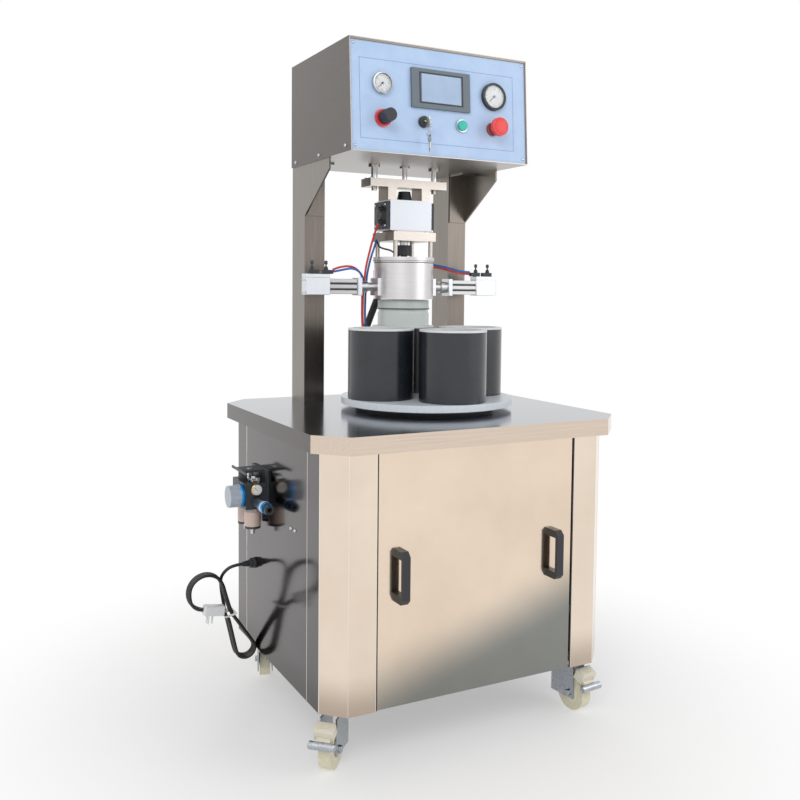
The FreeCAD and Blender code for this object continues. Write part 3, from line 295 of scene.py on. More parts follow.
finishes = {
    # Mirror-polished stainless sheet: clear reflections that waver a little, and a painted reflection in its colour,
    # warm in front and dark at the sides, with painted shade low down at its foot.
    "cabinet_mirror": grained("mirror_stainless_painted_reflection", "#f2f0ee", "#ffffff", 0.13, 1.0, 260, depth_mm=0.6,
                              rough_swing=0.02, painted_reflection=paint_reflection_by_facing("#ecdccb", "#636060", "#8c8b8c", "#d2d0ce", (0.12, 0.2))),
    # The same sheet on the front panel, with a painted reflection of the floor's dark edge low down on its right.
    "front_mirror": grained("mirror_door_painted_reflection", "#f2f0ee", "#ffffff", 0.13, 1.0, 260, depth_mm=0.6,
                            rough_swing=0.02,
                            painted_reflection=paint_reflection_by_facing("#ead8c4", "#67645f", "#8c8b8c", "#97a6b2", (0.15, 0.3), 0.32)),
    # Satin stainless sheet of the worktop, brushed, with a painted reflection in its colour: grey on top, warm in
    # front and dark at the sides.
    "worktop_steel": grained("brushed_worktop_painted_reflection", "#f4f4f4", "#ffffff", 0.15, 1.0, 3.0, (0.02, 1, 1),
                             depth_mm=0.008, rough_swing=0.03, painted_reflection=paint_reflection_by_facing("#dccbbb", "#5d5957", "#979aa0")),
    # Brushed stainless of the control box, with painted shade that darkens the cheeks and a painted paler tone on the
    # underside and top.
    "box_steel": grained("brushed_box_painted_shade", "#ececec", "#ffffff", 0.36, 1.0, 2.6, (1, 0.03, 1),
                         depth_mm=0.02, painted_reflection=paint_reflection_by_facing("#b9b4b0", "#6c6865", "#b2afab")),
    # Bluish film-like satin of the panel plate, as clean anodised sheet looks under a pale sky.
    "panel_plate": grained("anodised_panel_sheet", "#abc4e6", "#b6cdeb", 0.42, 0.0, 40),
    # Brushed rectangular tube, the brushing runs up the posts; a painted dark reflection tints every face.
    "post_steel": grained("brushed_tube_painted_reflection", "#e6e4e2", "#ffffff", 0.3, 1.0, 2.4, (1, 1, 0.02),
                          depth_mm=0.02, painted_reflection=paint_reflection_by_facing("#7d7670", "#8f8a84", "#9b9792")),
    # Clear anodised milled plate: pale grey with faint tool marks, with painted shade darkening the sides and a
    # painted greyer tone on top and underside.
    "machined_alu": grained("milled_aluminium_painted_shade", "#e2deda", "#f4f1ee", 0.34, 1.0, 1.6, (0.08, 1, 1), depth_mm=0.02,
                            painted_reflection=paint_reflection_by_facing("#d6d1cc", "#878079", "#cfccc9")),
    # Extruded and anodised actuator body: silvery, softer than the plates.
    "actuator_alu": grained("extruded_aluminium", "#b4b7bd", "#c4c7cd", 0.36, 1.0, 2.0, (1, 0.06, 1), depth_mm=0.02),
    # Hard chromed ground rod: a narrow bright line.
    "ground_rod": grained("hard_chrome", "#d6d6d8", "#e8e8ea", 0.1, 1.0, 1.2, (1, 1, 0.1), rough_swing=0.03),
    # Fine-turned bell: nearly white, with rings too fine to count.
    "chamber_alu": grained("turned_aluminium", "#c9c7c8", "#d8d6d7", 0.34, 1.0, 1.4, (0.02, 0.02, 1), depth_mm=0.02),
    "clamp_alu": grained("drawn_aluminium", "#aeaeb0", "#c0c0c2", 0.3, 1.0, 1.6, (0.05, 1, 1), depth_mm=0.02),
    # Satin moulded plastic with a spark-eroded grain of a third of a millimetre.
    "black_plastic": grained("moulded_black_plastic", "#202327", "#292c31", 0.42, 0.0, 0.5, depth_mm=0.04),
    # Black lacquered cup: a broad soft highlight down each side.
    "cup_black": grained("black_lacquer", "#1f2328", "#272c32", 0.24, 0.0, 60, depth_mm=0.25, rough_swing=0.05,
                         **{"Coat Weight": 0.25, "Coat Roughness": 0.18}),
    # Turned white plastic: clean, slightly waxy.
    "liner_white": grained("turned_white_plastic", "#d9dcde", "#e6e8ea", 0.4, 0.0, 2.0, (0.1, 0.1, 1), depth_mm=0.03),
    "disc_white": grained("milled_white_plastic", "#dde4ec", "#e7edf3", 0.33, 0.0, 3.0, (1, 1, 0.2), depth_mm=0.03),
    "base_black": grained("turned_black_plastic", "#1a1b1d", "#26272a", 0.5, 0.0, 1.2, depth_mm=0.04),
    # Lacquered tinplate lid: grey with a soft metal glint.
    "lid_grey": grained("lacquered_tinplate", "#bcc4c1", "#c8d0cd", 0.35, 0.0, 0.8, depth_mm=0.02),
    "screen_glass": grained("moulded_grey_bezel", "#5f6972", "#6b757e", 0.45, 0.0, 0.6, depth_mm=0.03),
    "gauge_rim": grained("black_enamelled_rim", "#1c1d1f", "#26272a", 0.35, 0.0, 0.8, depth_mm=0.02),
    "needle_black": grained("black_painted_pointer", "#101112", "#18191a", 0.5, 0.0, 0.4),
    "fitting_metal": grained("satin_chrome", "#b9babc", "#cfd0d2", 0.22, 1.0, 0.8, depth_mm=0.01),
    "key_steel": grained("nickel_plated_brass", "#b8b3a6", "#cbc6b8", 0.28, 1.0, 0.8, depth_mm=0.02),
    "button_green": grained("green_moulded_cap", "#1fae9c", "#2abdab", 0.3, 0.0, 0.5, depth_mm=0.02),
    "estop_red": grained("red_moulded_cap", "#de3a3a", "#e84a48", 0.32, 0.0, 0.5, depth_mm=0.02),
    # Hammered grey enamel on castings.
    "motor_grey": grained("grey_casting_enamel", "#5c626b", "#6a7079", 0.4, 0.0, 2.5, depth_mm=0.15),
    "filter_grey": grained("cast_black_block", "#2c3136", "#3a4046", 0.4, 0.0, 0.7, depth_mm=0.05),
    "dial_grey": grained("moulded_grey_knob", "#a4aeb9", "#b6bfc9", 0.3, 0.0, 0.5, depth_mm=0.03),
    "sleeve_blue": grained("blue_anodised_sleeve", "#2f86c8", "#4096d6", 0.28, 0.6, 0.8, depth_mm=0.02),
    # Soft vinyl sheath: black with a dull sheen and fine drawing lines.
    "cord_black": grained("vinyl_sheath", "#1b1b1d", "#252527", 0.38, 0.0, 1.0, depth_mm=0.04),
    "tie_white": grained("nylon_tie", "#dedede", "#ececec", 0.4, 0.0, 0.5, depth_mm=0.02),
    "plug_white": grained("moulded_white_plug", "#dcdee0", "#e9ebed", 0.35, 0.0, 0.5, depth_mm=0.03),
    "hose_black": grained("rubber_hose", "#1d1e20", "#28292b", 0.5, 0.0, 0.8, depth_mm=0.05),
    # Bright zinc plate: mottled silver with a cold cast.
    "zinc": grained("zinc_plated_pressing", "#9fa4aa", "#c4c8cd", 0.3, 1.0, 5.0, depth_mm=0.05),
    # Cream elastomer tread, scuffed where it rolls.
    "wheel_cream": grained("cream_elastomer", "#d3cdb0", "#e3dec6", 0.5, 0.0, 8.0, depth_mm=0.1),
    "pedal_beige": grained("moulded_beige_pedal", "#ded7c4", "#eae4d4", 0.45, 0.0, 0.8, depth_mm=0.04),
    # Finishes of the small parts below.
    "bowl_guard": grained("clear_grey_guard", "#9c8f8a", "#aba09b", 0.3, 0.0, 0.8, depth_mm=0.02),
    "stop_maroon": grained("dark_red_collar", "#7c3d38", "#8e4a44", 0.4, 0.0, 0.5, depth_mm=0.02),
    "lip_brown": grained("folded_box_lip", "#8d8178", "#9c9087", 0.35, 1.0, 1.0, (0.05, 1, 1), depth_mm=0.02),
    "red_plastic": grained("moulded_red_ring", "#cf3540", "#dc424c", 0.35, 0.0, 0.5, depth_mm=0.02),
    "red_tube": grained("red_air_tube", "#c8342c", "#d84036", 0.3, 0.0, 1.0, depth_mm=0.02),
    "blue_tube": grained("blue_air_tube", "#2d62b4", "#3a72c6", 0.3, 0.0, 1.0, depth_mm=0.02),
    "dark_line": grained("printed_border_line", "#7f96c4", "#8aa0cb", 0.5, 0.0, 5.0),
    "dial_face": grained("white_dial_card", "#e8ecf0", "#f2f5f8", 0.5, 0.0, 1.0),
    "tick_black": grained("printed_dial_marks", "#202226", "#2a2c30", 0.5, 0.0, 1.0),
    "screen_dark": grained("pale_touch_screen", "#93abca", "#a3b8d4", 0.12, 0.0, 60, rough_swing=0.03),
    "screw_steel": grained("stainless_screw", "#aeb0b3", "#c8cacd", 0.25, 1.0, 0.8, depth_mm=0.02),
    "white_plate": grained("white_anodised_plate", "#d5d9df", "#e4e8ed", 0.3, 0.55, 0.8, depth_mm=0.02),
    "seam_dark": grained("shadowed_seam", "#2e2c2b", "#3a3836", 0.6, 0.0, 1.0),
    # Pale metal of the painted highlight lines along the pillars' folds
    "fold_bright": grained("fold_edge_painted_highlight", "#e8e0d6", "#f6efe6", 0.15, 1.0, 2.0),
    "brass": grained("turned_brass", "#b9995a", "#cfae6c", 0.28, 1.0, 0.8, depth_mm=0.02),
}


def clear(name, tint, rough, weight, ior=1.45):
    """A clear moulding or glass: tinted by what passes through, with a faint surface wave."""
    material, tree, output = blank(name)
    place = add_node(tree, "ShaderNodeTexCoord")
    noise = add_node(tree, "ShaderNodeTexNoise", {"Vector": place.outputs["Object"], "Scale": 1000 / 30,
                                                   "Detail": 1.0})
    relief = add_node(tree, "ShaderNodeBump", {"Height": noise.outputs["Fac"], "Strength": 0.15, "Distance": 0.0003})
    surface = add_node(tree, "ShaderNodeBsdfPrincipled", {
        "Base Color": linear(tint), "Roughness": rough, "IOR": ior, "Transmission Weight": weight,
        "Normal": relief.outputs["Normal"]})
    tree.links.new(surface.outputs["BSDF"], output.inputs["Surface"])
    return material


# Pale green container glass, and the amber and clear mouldings of bowls and lenses.
finishes["jar_glass"] = clear("container_glass", "#dde6e2", 0.14, 0.12, 1.5)
finishes["bowl_amber"] = clear("amber_bowl", "#e6cdc1", 0.15, 0.25)
finishes["lens"] = clear("dial_lens", "#ffffff", 0.03, 1.0, 1.49)


def finish_piece(made, finish, body):
    """Gives an object its finish and slot and lets it ride on a body."""
    made.data.materials.append(finishes[finish])
    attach(made, body)


def soften(made, width, degrees):
    """Rounds the edges sharper than the given degrees; width is millimetres."""
    edge = made.modifiers.new("soft_edge", "BEVEL")
    edge.width = width / 1000
    edge.segments = 2
    edge.limit_method = "ANGLE"
    edge.angle_limit = math.radians(degrees)


for part in frame["record"]["subparts"]:
    carried = nodes[part["node"]]
    for place in carried.material_slots:
        place.material = finishes[part["material_slot"]]
# The front panel takes the sheet with the painted floor reflection.
for place in nodes["front_panel"].material_slots:
    place.material = finishes["front_mirror"]
cord.data.materials.append(finishes["cord_black"])

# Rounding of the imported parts' edges
EDGES = {"worktop": 1.2, "panel_handles": 3.0, "head_housing": 0.8, "rotary_actuator": 1.5, "middle_plate": 0.8,
         "lift_plate": 0.8, "front_panel": 0.8, "power_plug": 0.6, "turntable_disc": 1.0, "nest_cups": 0.8,
         "start_button": 1.5, "estop_head": 3.0, "regulator_knob": 1.2, "vacuum_chamber": 0.8, "hmi": 2.0}
for name, width in EDGES.items():
    soften(nodes[name], width, 40)


# ---------------------------------------------------------------- shape helpers
TO_X = Matrix.Rotation(math.radians(90), 4, "Y")
TO_MINUS_X = Matrix.Rotation(math.radians(-90), 4, "Y")
TO_MINUS_Y = Matrix.Rotation(math.radians(90), 4, "X")
TO_Y = Matrix.Rotation(math.radians(-90), 4, "X")
UPRIGHT = Matrix.Identity(4)


def move(x, y, z):
    """The shift to a place."""
    return Matrix.Translation((x, y, z))


def spin(degrees):
    """A turn about z."""
    return Matrix.Rotation(math.radians(degrees), 4, "Z")


def block(shape, size, centre, turn=UPRIGHT):
    """Adds a box of the given size about its centre."""
    bmesh.ops.create_cube(shape, size=1, matrix=move(*centre) @ turn @ Matrix.Diagonal((*size, 1)))


def strips(shape, spans, thick, height):
    """Adds flat boxes from (x0, x1, y0, y1) spans, their middle at the given height."""
    for x0, x1, y0, y1 in spans:
        block(shape, (x1 - x0, y1 - y0, thick), ((x0 + x1) / 2, (y0 + y1) / 2, height))


def turned(shape, profile, place, steps=48, ribs=0, rib_depth=0.0):
    """Adds a lathe form from (radius, height) pairs along z of place; ribs notch its outline."""
    rings = []
    for radius, height in profile:
        ring = []
        for i in range(steps):
            angle = 2 * math.pi * i / steps
            r = radius - (rib_depth if ribs and (i * ribs * 2 // steps) % 2 else 0) if radius > 0 else 0
            ring.append(shape.verts.new(place @ Vector((r * math.cos(angle), r * math.sin(angle), height))))
        rings.append(ring)
    for low, high in zip(rings, rings[1:]):
        for i in range(steps):
            j = (i + 1) % steps
            shape.faces.new((low[i], low[j], high[j], high[i]))
    shape.faces.new(list(reversed(rings[0])))
    shape.faces.new(rings[-1])


def drop_caps(shape):
    """Takes the end caps off lathe forms, which leaves bands."""
    for face in [f for f in shape.faces if len(f.verts) > 4]:
        shape.faces.remove(face)


def piece(name, shape, finish, body, frame_at=UPRIGHT, edge=0.0):
    """Turns a shape in millimetres into an object that rides on a body."""
    shape.transform(TO_MODEL @ frame_at)
    bmesh.ops.recalc_face_normals(shape, faces=shape.faces)
    for face in shape.faces:
        face.smooth = True
    for line in shape.edges:
        if len(line.link_faces) == 2 and line.calc_face_angle() > math.radians(SHARP):
            line.smooth = False
    mesh = bpy.data.meshes.new(name)
    shape.to_mesh(mesh)
    shape.free()
    made = add_object(name, mesh)
    if edge:
        soften(made, edge, SHARP)
    finish_piece(made, finish, body)


def lathe(name, profile, place, finish, body, frame_at=UPRIGHT, steps=48, ribs=0, rib_depth=0.0, band=False):
    """A piece that is one lathe form; a band has no end caps."""
    shape = bmesh.new()
    turned(shape, profile, place, steps, ribs, rib_depth)
    if band:
        drop_caps(shape)
    piece(name, shape, finish, body, frame_at)


def tube(name, points, diameter, finish, body):
    """A short fixed air line along a smooth spline."""
    finish_piece(smooth_line(name, points, diameter), finish, body)


def screws(name, places, direction, radius, body, length=3.0, frame_at=UPRIGHT):
    """Button-head screws with a hexagon socket, standing on their places."""
    shape = bmesh.new()
    head = [(radius, -0.5), (radius, length * 0.35), (radius * 0.8, length * 0.8), (radius * 0.5, length)]
    socket = [(radius * 0.45, length - 0.3), (radius * 0.45, length + 0.15), (radius * 0.25, length + 0.1)]
    for place in places:
        turned(shape, head, move(*place) @ direction, 20)
        turned(shape, socket, move(*place) @ direction, 6)
    piece(name, shape, "screw_steel", body, frame_at)


# ---------------------------------------------------------------- control panel
BOX_RAKE, BOX_H = 15.0, 236.0
PANEL_TILT = math.pi / 2 - math.atan(BOX_RAKE / BOX_H)
PANEL = move(HEAD_X, -49, 1194) @ Matrix.Rotation(PANEL_TILT, 4, "X")
# On the panel, x runs from its middle, y up from its foot and z out of it.
ROW_HI, ROW_LO = 145.0, 73.0
PRESSURE_X, VACUUM_X = -147, 131
REGULATOR_X, KEY_X, BUTTON_X, STOP_X = -145, -48, 47, 128
DIAL_START, DIAL_SWEEP = -225, 270

border = bmesh.new()
strips(border, ((-198, 185, 28, 29), (-198, 185, 195, 196), (-198, -197, 28, 196), (184, 185, 28, 196)), 0.3, 0.15)
piece("panel_border_line", border, "dark_line", "machine", PANEL)

screen = bmesh.new()
block(screen, (98, 60, 0.8), (-5, ROW_HI + 1, 7.2))
piece("touch_screen", screen, "screen_dark", "machine", PANEL, 0.3)
bezel = bmesh.new()
strips(bezel, ((-59, 49, 177, 179), (-59, 49, 113, 115), (-59, -57, 115, 177), (47, 49, 115, 177)), 1.6, 7.4)
piece("screen_frame", bezel, "black_plastic", "machine", PANEL, 0.5)


def dial(name, x, radius, rim_finish, rim_wide):
    """Card, marks, rim and lens of a round gauge."""
    middle = move(x, ROW_HI, 0)
    lathe(name + "_card", [(radius - 2.6, 5.05), (radius - 2.6, 5.35)], middle, "dial_face", "machine", PANEL, 64)
    marks = bmesh.new()
    reach = radius - rim_wide - 2.8
    for i in range(31):
        size = (1.9, 0.35, 0.15) if i % 5 else (3.4, 0.7, 0.15)
        way = spin(DIAL_START + DIAL_SWEEP * i / 30)
        block(marks, size, move(x, ROW_HI, 5.45) @ way @ Vector((reach - size[0] / 2, 0, 0)), way)
    piece(name + "_marks", marks, "tick_black", "machine", PANEL)
    inside, outside = radius - rim_wide, radius + 0.4
    lathe(name + "_rim", [(inside, 7.2), (inside + 0.2, 9.2), (radius - 0.6, 9.6), (outside, 8.6), (outside, 0.2)],
          middle, rim_finish, "machine", PANEL, 64, band=True)
    lathe(name + "_lens", [(radius - 2.5, 7.6), (radius - 2.5, 8.1), (radius * 0.6, 8.7), (radius * 0.1, 8.9)],
          middle, "lens", "machine", PANEL, 64)


dial("pressure_gauge", PRESSURE_X, 22.5, "fitting_metal", 2.4)
dial("vacuum_gauge", VACUUM_X, 30.0, "gauge_rim", 5.4)

lathe("regulator_grip", [(13.6, 6.2), (14.3, 8), (14.3, 30), (13.6, 33.5), (11.5, 38.4), (11.0, 39.4), (0.5, 39.6)],
      move(REGULATOR_X, ROW_LO, 0), "black_plastic", "regulator", PANEL, 96, 20, 0.8)
lathe("regulator_ring", [(19.4, 0.1), (19.4, 4.2), (18.4, 5.2), (10.0, 5.4)],
      move(REGULATOR_X, ROW_LO, 0), "red_plastic", "machine", PANEL, 64)
lathe("stop_collar", [(15.3, 0.1), (15.3, 6.2), (14.4, 7.2), (9.6, 7.3)],
      move(STOP_X, ROW_LO, 0), "stop_maroon", "machine", PANEL, 64)
lathe("stop_mushroom", [(14.6, 18.9), (20.1, 26), (20.4, 30), (19.6, 33.4), (17.0, 35.4), (12.0, 36.4), (0.5, 36.8)],
      move(STOP_X, ROW_LO, 0), "estop_red", "emergency_stop", PANEL, 64)
lathe("button_crown", [(11.55, 5.0), (11.55, 8.2), (10.6, 9.6), (0.5, 10.2)],
      move(BUTTON_X, ROW_LO, 0), "button_green", "start", PANEL)
lathe("button_bezel", [(14.3, 0.1), (14.3, 3.6), (13.4, 5.2), (12.0, 5.3)],
      move(BUTTON_X, ROW_LO, 0), "fitting_metal", "machine", PANEL, 64, band=True)

# Folded lip of the box around the panel, along its top and right edges
lip = bmesh.new()
block(lip, (442, 5.0, 3.4), (0, 233.4, 1.2))
block(lip, (3.4, 232, 3.4), (219.2, 116, 1.2))
piece("box_front_lip", lip, "lip_brown", "machine", PANEL, 0.4)

# Key in its black barrel, with a ring and a second key hanging from it
lathe("key_collar", [(12.3, 0.1), (12.3, 7.0), (11.4, 8.2), (7.0, 8.3)],
      move(KEY_X, ROW_LO, 0), "black_plastic", "machine", PANEL)
bow = bmesh.new()
turned(bow, [(8.5, -1.3), (10.0, -0.7), (10.0, 0.7), (8.5, 1.3)], move(KEY_X, ROW_LO - 6, 22) @ TO_X, 32)
block(bow, (2.2, 8, 14), (KEY_X, ROW_LO, 13))
piece("key_bow", bow, "key_steel", "panel_key", PANEL, 0.4)
bpy.ops.mesh.primitive_torus_add(major_radius=0.011, minor_radius=0.0009, major_segments=40, minor_segments=10)
loop = bpy.context.object
loop.name = "key_ring"
loop.data.transform(TO_MODEL @ PANEL @ move(KEY_X, ROW_LO - 22, 23) @ TO_X @ Matrix.Scale(1000, 4))
for face in loop.data.polygons:
    face.use_smooth = True
finish_piece(loop, "fitting_metal", "panel_key")
spare = bmesh.new()
SPARE_X = KEY_X + 2.2
turned(spare, [(7.5, -1.0), (8.5, -0.5), (8.5, 0.5), (7.5, 1.0)], move(SPARE_X, ROW_LO - 39, 23) @ TO_X, 32)
block(spare, (1.8, 22, 4.5), (SPARE_X, ROW_LO - 56, 23))
block(spare, (1.8, 3, 6.5), (SPARE_X, ROW_LO - 62, 23.6))
piece("spare_key", spare, "key_steel", "panel_key", PANEL, 0.3)

screws("panel_screws", [(x, y, 0) for x in (-210, 210) for y in (12, 224)], UPRIGHT, 3.2, "machine", 2.0, PANEL)

# ---------------------------------------------------------------- screws and seams of the sheet metal
CHEEK_SCREWS = ((-24, 1207), (119, 1204), (260, 1204))
screws("cheek_screws", [(HEAD_X - 221, y, z) for y, z in CHEEK_SCREWS], TO_MINUS_X, 4.0, "machine")
screws("cheek_screws_right", [(HEAD_X + 221, y, z) for y, z in CHEEK_SCREWS], TO_X, 4.0, "machine")
screws("side_screws", [(-HALF_W, y, 433) for y in (-97, -118)], TO_MINUS_X, 4.0, "machine")

# The folds are painted highlights, pale lines along the pillars' edges; the seams are painted shade, dark lines on
# both sides of the front panel.
CORNER, STRIP = 41.5, 60.0
FOLDS = ((HALF_W - CORNER, HALF_D - 0.1, 0.45), (HALF_W - 0.4, HALF_D - CORNER, 0.9),
         (HALF_W - 0.4, HALF_D - CORNER - STRIP, 0.8), (HALF_W - CORNER - STRIP + 3, HALF_D - 0.2, 0.6))
fold = bmesh.new()
for sx in (-1, 1):
    for sy in (-1, 1):
        for x, y, radius in FOLDS:
            turned(fold, [(radius, 117), (radius, 607)], move(sx * x, sy * y, 0), 12)
piece("pillar_fold_highlights", fold, "fold_bright", "machine")
seam = bmesh.new()
for sx in (-1, 1):
    block(seam, (2.2, 0.5, 488), (sx * (HALF_W - CORNER - STRIP + 1.2), 0.1 - HALF_D, 361))
piece("door_seams", seam, "seam_dark", "machine")

# ---------------------------------------------------------------- lifting head
ACT_HALF, ACT_Z = 54.0, 1079.0
HEAD_AXIS = move(HEAD_X, AXIS_Y, 0)
ACT_LEFT = HEAD_X - ACT_HALF - 8
ends = bmesh.new()
for side in (-1, 1):
    block(ends, (8.4, 64.6, 62.6), (HEAD_X + side * (ACT_HALF + 4.2), AXIS_Y, ACT_Z))
turned(ends, [(24, 0), (24, 1.6), (20, 2.6), (12, 3.0), (12, 4.4)], move(ACT_LEFT, AXIS_Y, ACT_Z) @ TO_MINUS_X)
piece("actuator_ends", ends, "black_plastic", "lifting_head", edge=1.6)
screws("actuator_screws", [(ACT_LEFT - 0.4, AXIS_Y + dy, ACT_Z + dz) for dy in (-25, 25) for dz in (-24, 24)],
       TO_MINUS_X, 3.4, "lifting_head", 2.4)
port = bmesh.new()
for dz in (-15, 15):
    turned(port, [(5.5, 0), (5.5, 6), (4.4, 7), (4.2, 12)], move(ACT_LEFT, AXIS_Y - 10, ACT_Z + dz) @ TO_MINUS_X, 24)
piece("actuator_ports", port, "black_plastic", "lifting_head")

screws("lift_plate_bolts", [(HEAD_X + dx, AXIS_Y + dy, 1162) for dx in (-92, 92) for dy in (-16, 16)], UPRIGHT, 4.2,
       "lifting_head")
screws("middle_plate_bolts", [(HEAD_X + dx, AXIS_Y + dy, 1040) for dx in (-46, 46) for dy in (-46, 46)], UPRIGHT, 4.6,
       "lifting_head")
lathe("shaft_sleeve", [(10.0, 1008.5), (10.0, 1019.5)], HEAD_AXIS, "fitting_metal", "capping_spindle", steps=40)
joint = bmesh.new()
turned(joint, [(70.25, 969.5), (70.25, 971.2)], HEAD_AXIS, 96)
turned(joint, [(72.2, 974.0), (72.2, 974.8)], HEAD_AXIS, 96)
drop_caps(joint)
piece("chamber_joint_line", joint, "seam_dark", "lifting_head")

CLAMP_Z = 914.0
# Distances of a clamp's middle parts from the head's axis
BARREL_OUT, REAR_BLOCK_OUT = 159.5, 222.5
for side, name, outward in ((-1, "left", TO_MINUS_X), (1, "right", TO_X)):
    barrel_x, block_x = HEAD_X + side * BARREL_OUT, HEAD_X + side * REAR_BLOCK_OUT
    white = bmesh.new()
    block(white, (10.6, 34.8, 40.8), (HEAD_X + side * 120, AXIS_Y, CLAMP_Z))
    block(white, (57.4, 28.8, 38.8), (block_x, AXIS_Y, CLAMP_Z))
    piece("clamp_blocks_" + name, white, "white_plate", "lifting_head", edge=1.2)
    nose = bmesh.new()
    turned(nose, [(10.2, 77.5), (10.2, 96), (13.5, 97), (13.5, 114.8)], move(HEAD_X, AXIS_Y, CLAMP_Z) @ outward)
    piece("clamp_nose_" + name, nose, "clamp_alu", "lifting_head", edge=0.5)
    rails = bmesh.new()
    for dy in (-9, 0, 9):
        for dz in (-16.4, 16.4):
            block(rails, (68, 5, 1.6), (barrel_x, AXIS_Y + dy, CLAMP_Z + dz))
    for dz in (-13, 0, 13):
        for dy in (-12.4, 12.4):
            block(rails, (68, 1.6, 7), (barrel_x, AXIS_Y + dy, CLAMP_Z + dz))
    piece("clamp_profile_" + name, rails, "clamp_alu", "lifting_head", edge=0.4)
    grooves = bmesh.new()
    for dz in (-6.5, 6.5):
        block(grooves, (66, 0.6, 4.6), (barrel_x, AXIS_Y - 12.2, CLAMP_Z + dz))
    piece("clamp_grooves_" + name, grooves, "seam_dark", "lifting_head")
    cover = bmesh.new()
    block(cover, (57.4, 28.8, 8.8), (block_x, AXIS_Y, CLAMP_Z + 23.2))
    piece("clamp_cover_" + name, cover, "white_plate", "lifting_head", edge=1.0)
    screws("clamp_end_screws_" + name, [(HEAD_X + side * 251.3, AXIS_Y + dy, CLAMP_Z + dz) for dy in (-10, 10)
                                        for dz in (-14, 14)], outward, 3.0, "lifting_head", 2.0)
    valves = bmesh.new()
    knobs = bmesh.new()
    for reach in (199, 233):
        stand = move(HEAD_X + side * reach, AXIS_Y - 2, CLAMP_Z)
        turned(valves, [(5.0, 18), (5.0, 40), (4.0, 41), (4.0, 44), (1.6, 45), (1.6, 50)], stand, 24)
        block(valves, (26, 10, 9), (HEAD_X + side * (reach - 3), AXIS_Y - 2, CLAMP_Z + 32.4))
        turned(knobs, [(3.6, 49), (3.6, 56), (2.6, 57.5)], stand, 24, 12, 0.4)
    piece("speed_controllers_" + name, valves, "black_plastic", "lifting_head", edge=0.4)
    piece("speed_knobs_" + name, knobs, "black_plastic", "lifting_head")

# Air lines: down behind the left clamp to the worktop's back, and from there to both clamps
AIR_LINES = (
    ("air_red_down", "red_tube",
     ((-23, 120, 1064), (-31, 122, 1062), (-31, 140, 1040), (-33, 151, 1018), (-37, 158, 992), (-44, 160, 961),
      (-47, 160, 937), (-50, 160, 913), (-51, 160, 890), (-52, 160, 852), (-51, 160, 829), (-48, 160, 805))),
    ("air_blue_down", "blue_tube",
     ((-10, 178, 1034), (-14, 166, 1024), (-23, 158, 1008), (-32, 160, 981), (-37, 166, 949), (-38, 168, 934),
      (-40, 168, 911), (-41, 168, 890), (-42, 168, 855), (-41, 168, 829), (-39, 168, 805))),
    ("air_red_left", "red_tube",
     ((-142, 128, 952), (-134, 128, 955), (-119, 130, 959), (-97, 134, 961), (-79, 140, 956), (-62, 150, 945),
      (-53, 157, 929), (-51, 165, 906), (-50, 167, 880), (-50, 168, 840), (-47, 168, 805))),
    ("air_blue_left", "blue_tube",
     ((-142, 128, 947), (-132, 127, 949), (-112, 127, 953), (-94, 130, 956), (-72, 138, 950), (-56, 150, 936),
      (-47, 166, 918), (-45, 174, 890), (-45, 176, 840), (-42, 176, 805))),
    ("air_blue_right", "blue_tube",
     ((100, 226, 960), (126, 222, 968), (148, 208, 972), (163, 197, 969), (174, 174, 965), (188, 150, 958),
      (204, 134, 953), (222, 128, 952))),
    ("air_red_right", "red_tube",
     ((100, 230, 954), (124, 226, 962), (146, 212, 967), (160, 200, 964), (172, 176, 960), (186, 154, 953),
      (204, 138, 948), (222, 129, 947))),
)
for name, finish, points in AIR_LINES:
    tube(name, points, 5, finish, "lifting_head")
tube("sensor_lead", [(-12, 172, 1026), (-12, 160, 1008), (-4, 146, 1003), (6, 134, 1000), (12, 126, 994),
                     (24, 122, 985)], 4, "hose_black", "lifting_head")

# ---------------------------------------------------------------- jar and lid under the head
lathe("lid_knurl", [(60.2, 862.4), (60.0, 865), (60.0, 880.5), (58.6, 883.4), (57.0, 884.0)],
      HEAD_AXIS, "lid_grey", "turntable", steps=180, ribs=90, rib_depth=0.5, band=True)
lathe("lid_curl", [(60.5, 861.8), (61.6, 862.4), (61.7, 864.6), (60.2, 866.0)],
      HEAD_AXIS, "seam_dark", "turntable", steps=96, band=True)

# ---------------------------------------------------------------- turntable: light turned rims of the nests, disc edge
TABLE_AXIS = move(HEAD_X, TABLE_Y, 0)
NEST_OUT = AXIS_Y - TABLE_Y
rims = bmesh.new()
for dx, dy in ((0, -NEST_OUT), (0, NEST_OUT), (-NEST_OUT, 0), (NEST_OUT, 0)):
    turned(rims, [(62.3, 822.6), (62.6, 823.7), (72.2, 823.7), (72.7, 823.0), (72.7, 821.2)],
           TABLE_AXIS @ move(dx, dy, 0), 96)
drop_caps(rims)
piece("nest_rims", rims, "liner_white", "turntable")
lathe("disc_rounded_edge", [(191.0, 655.2), (192.4, 656.4), (192.4, 668.2), (191.0, 669.6)],
      TABLE_AXIS, "disc_white", "turntable", steps=160, band=True)

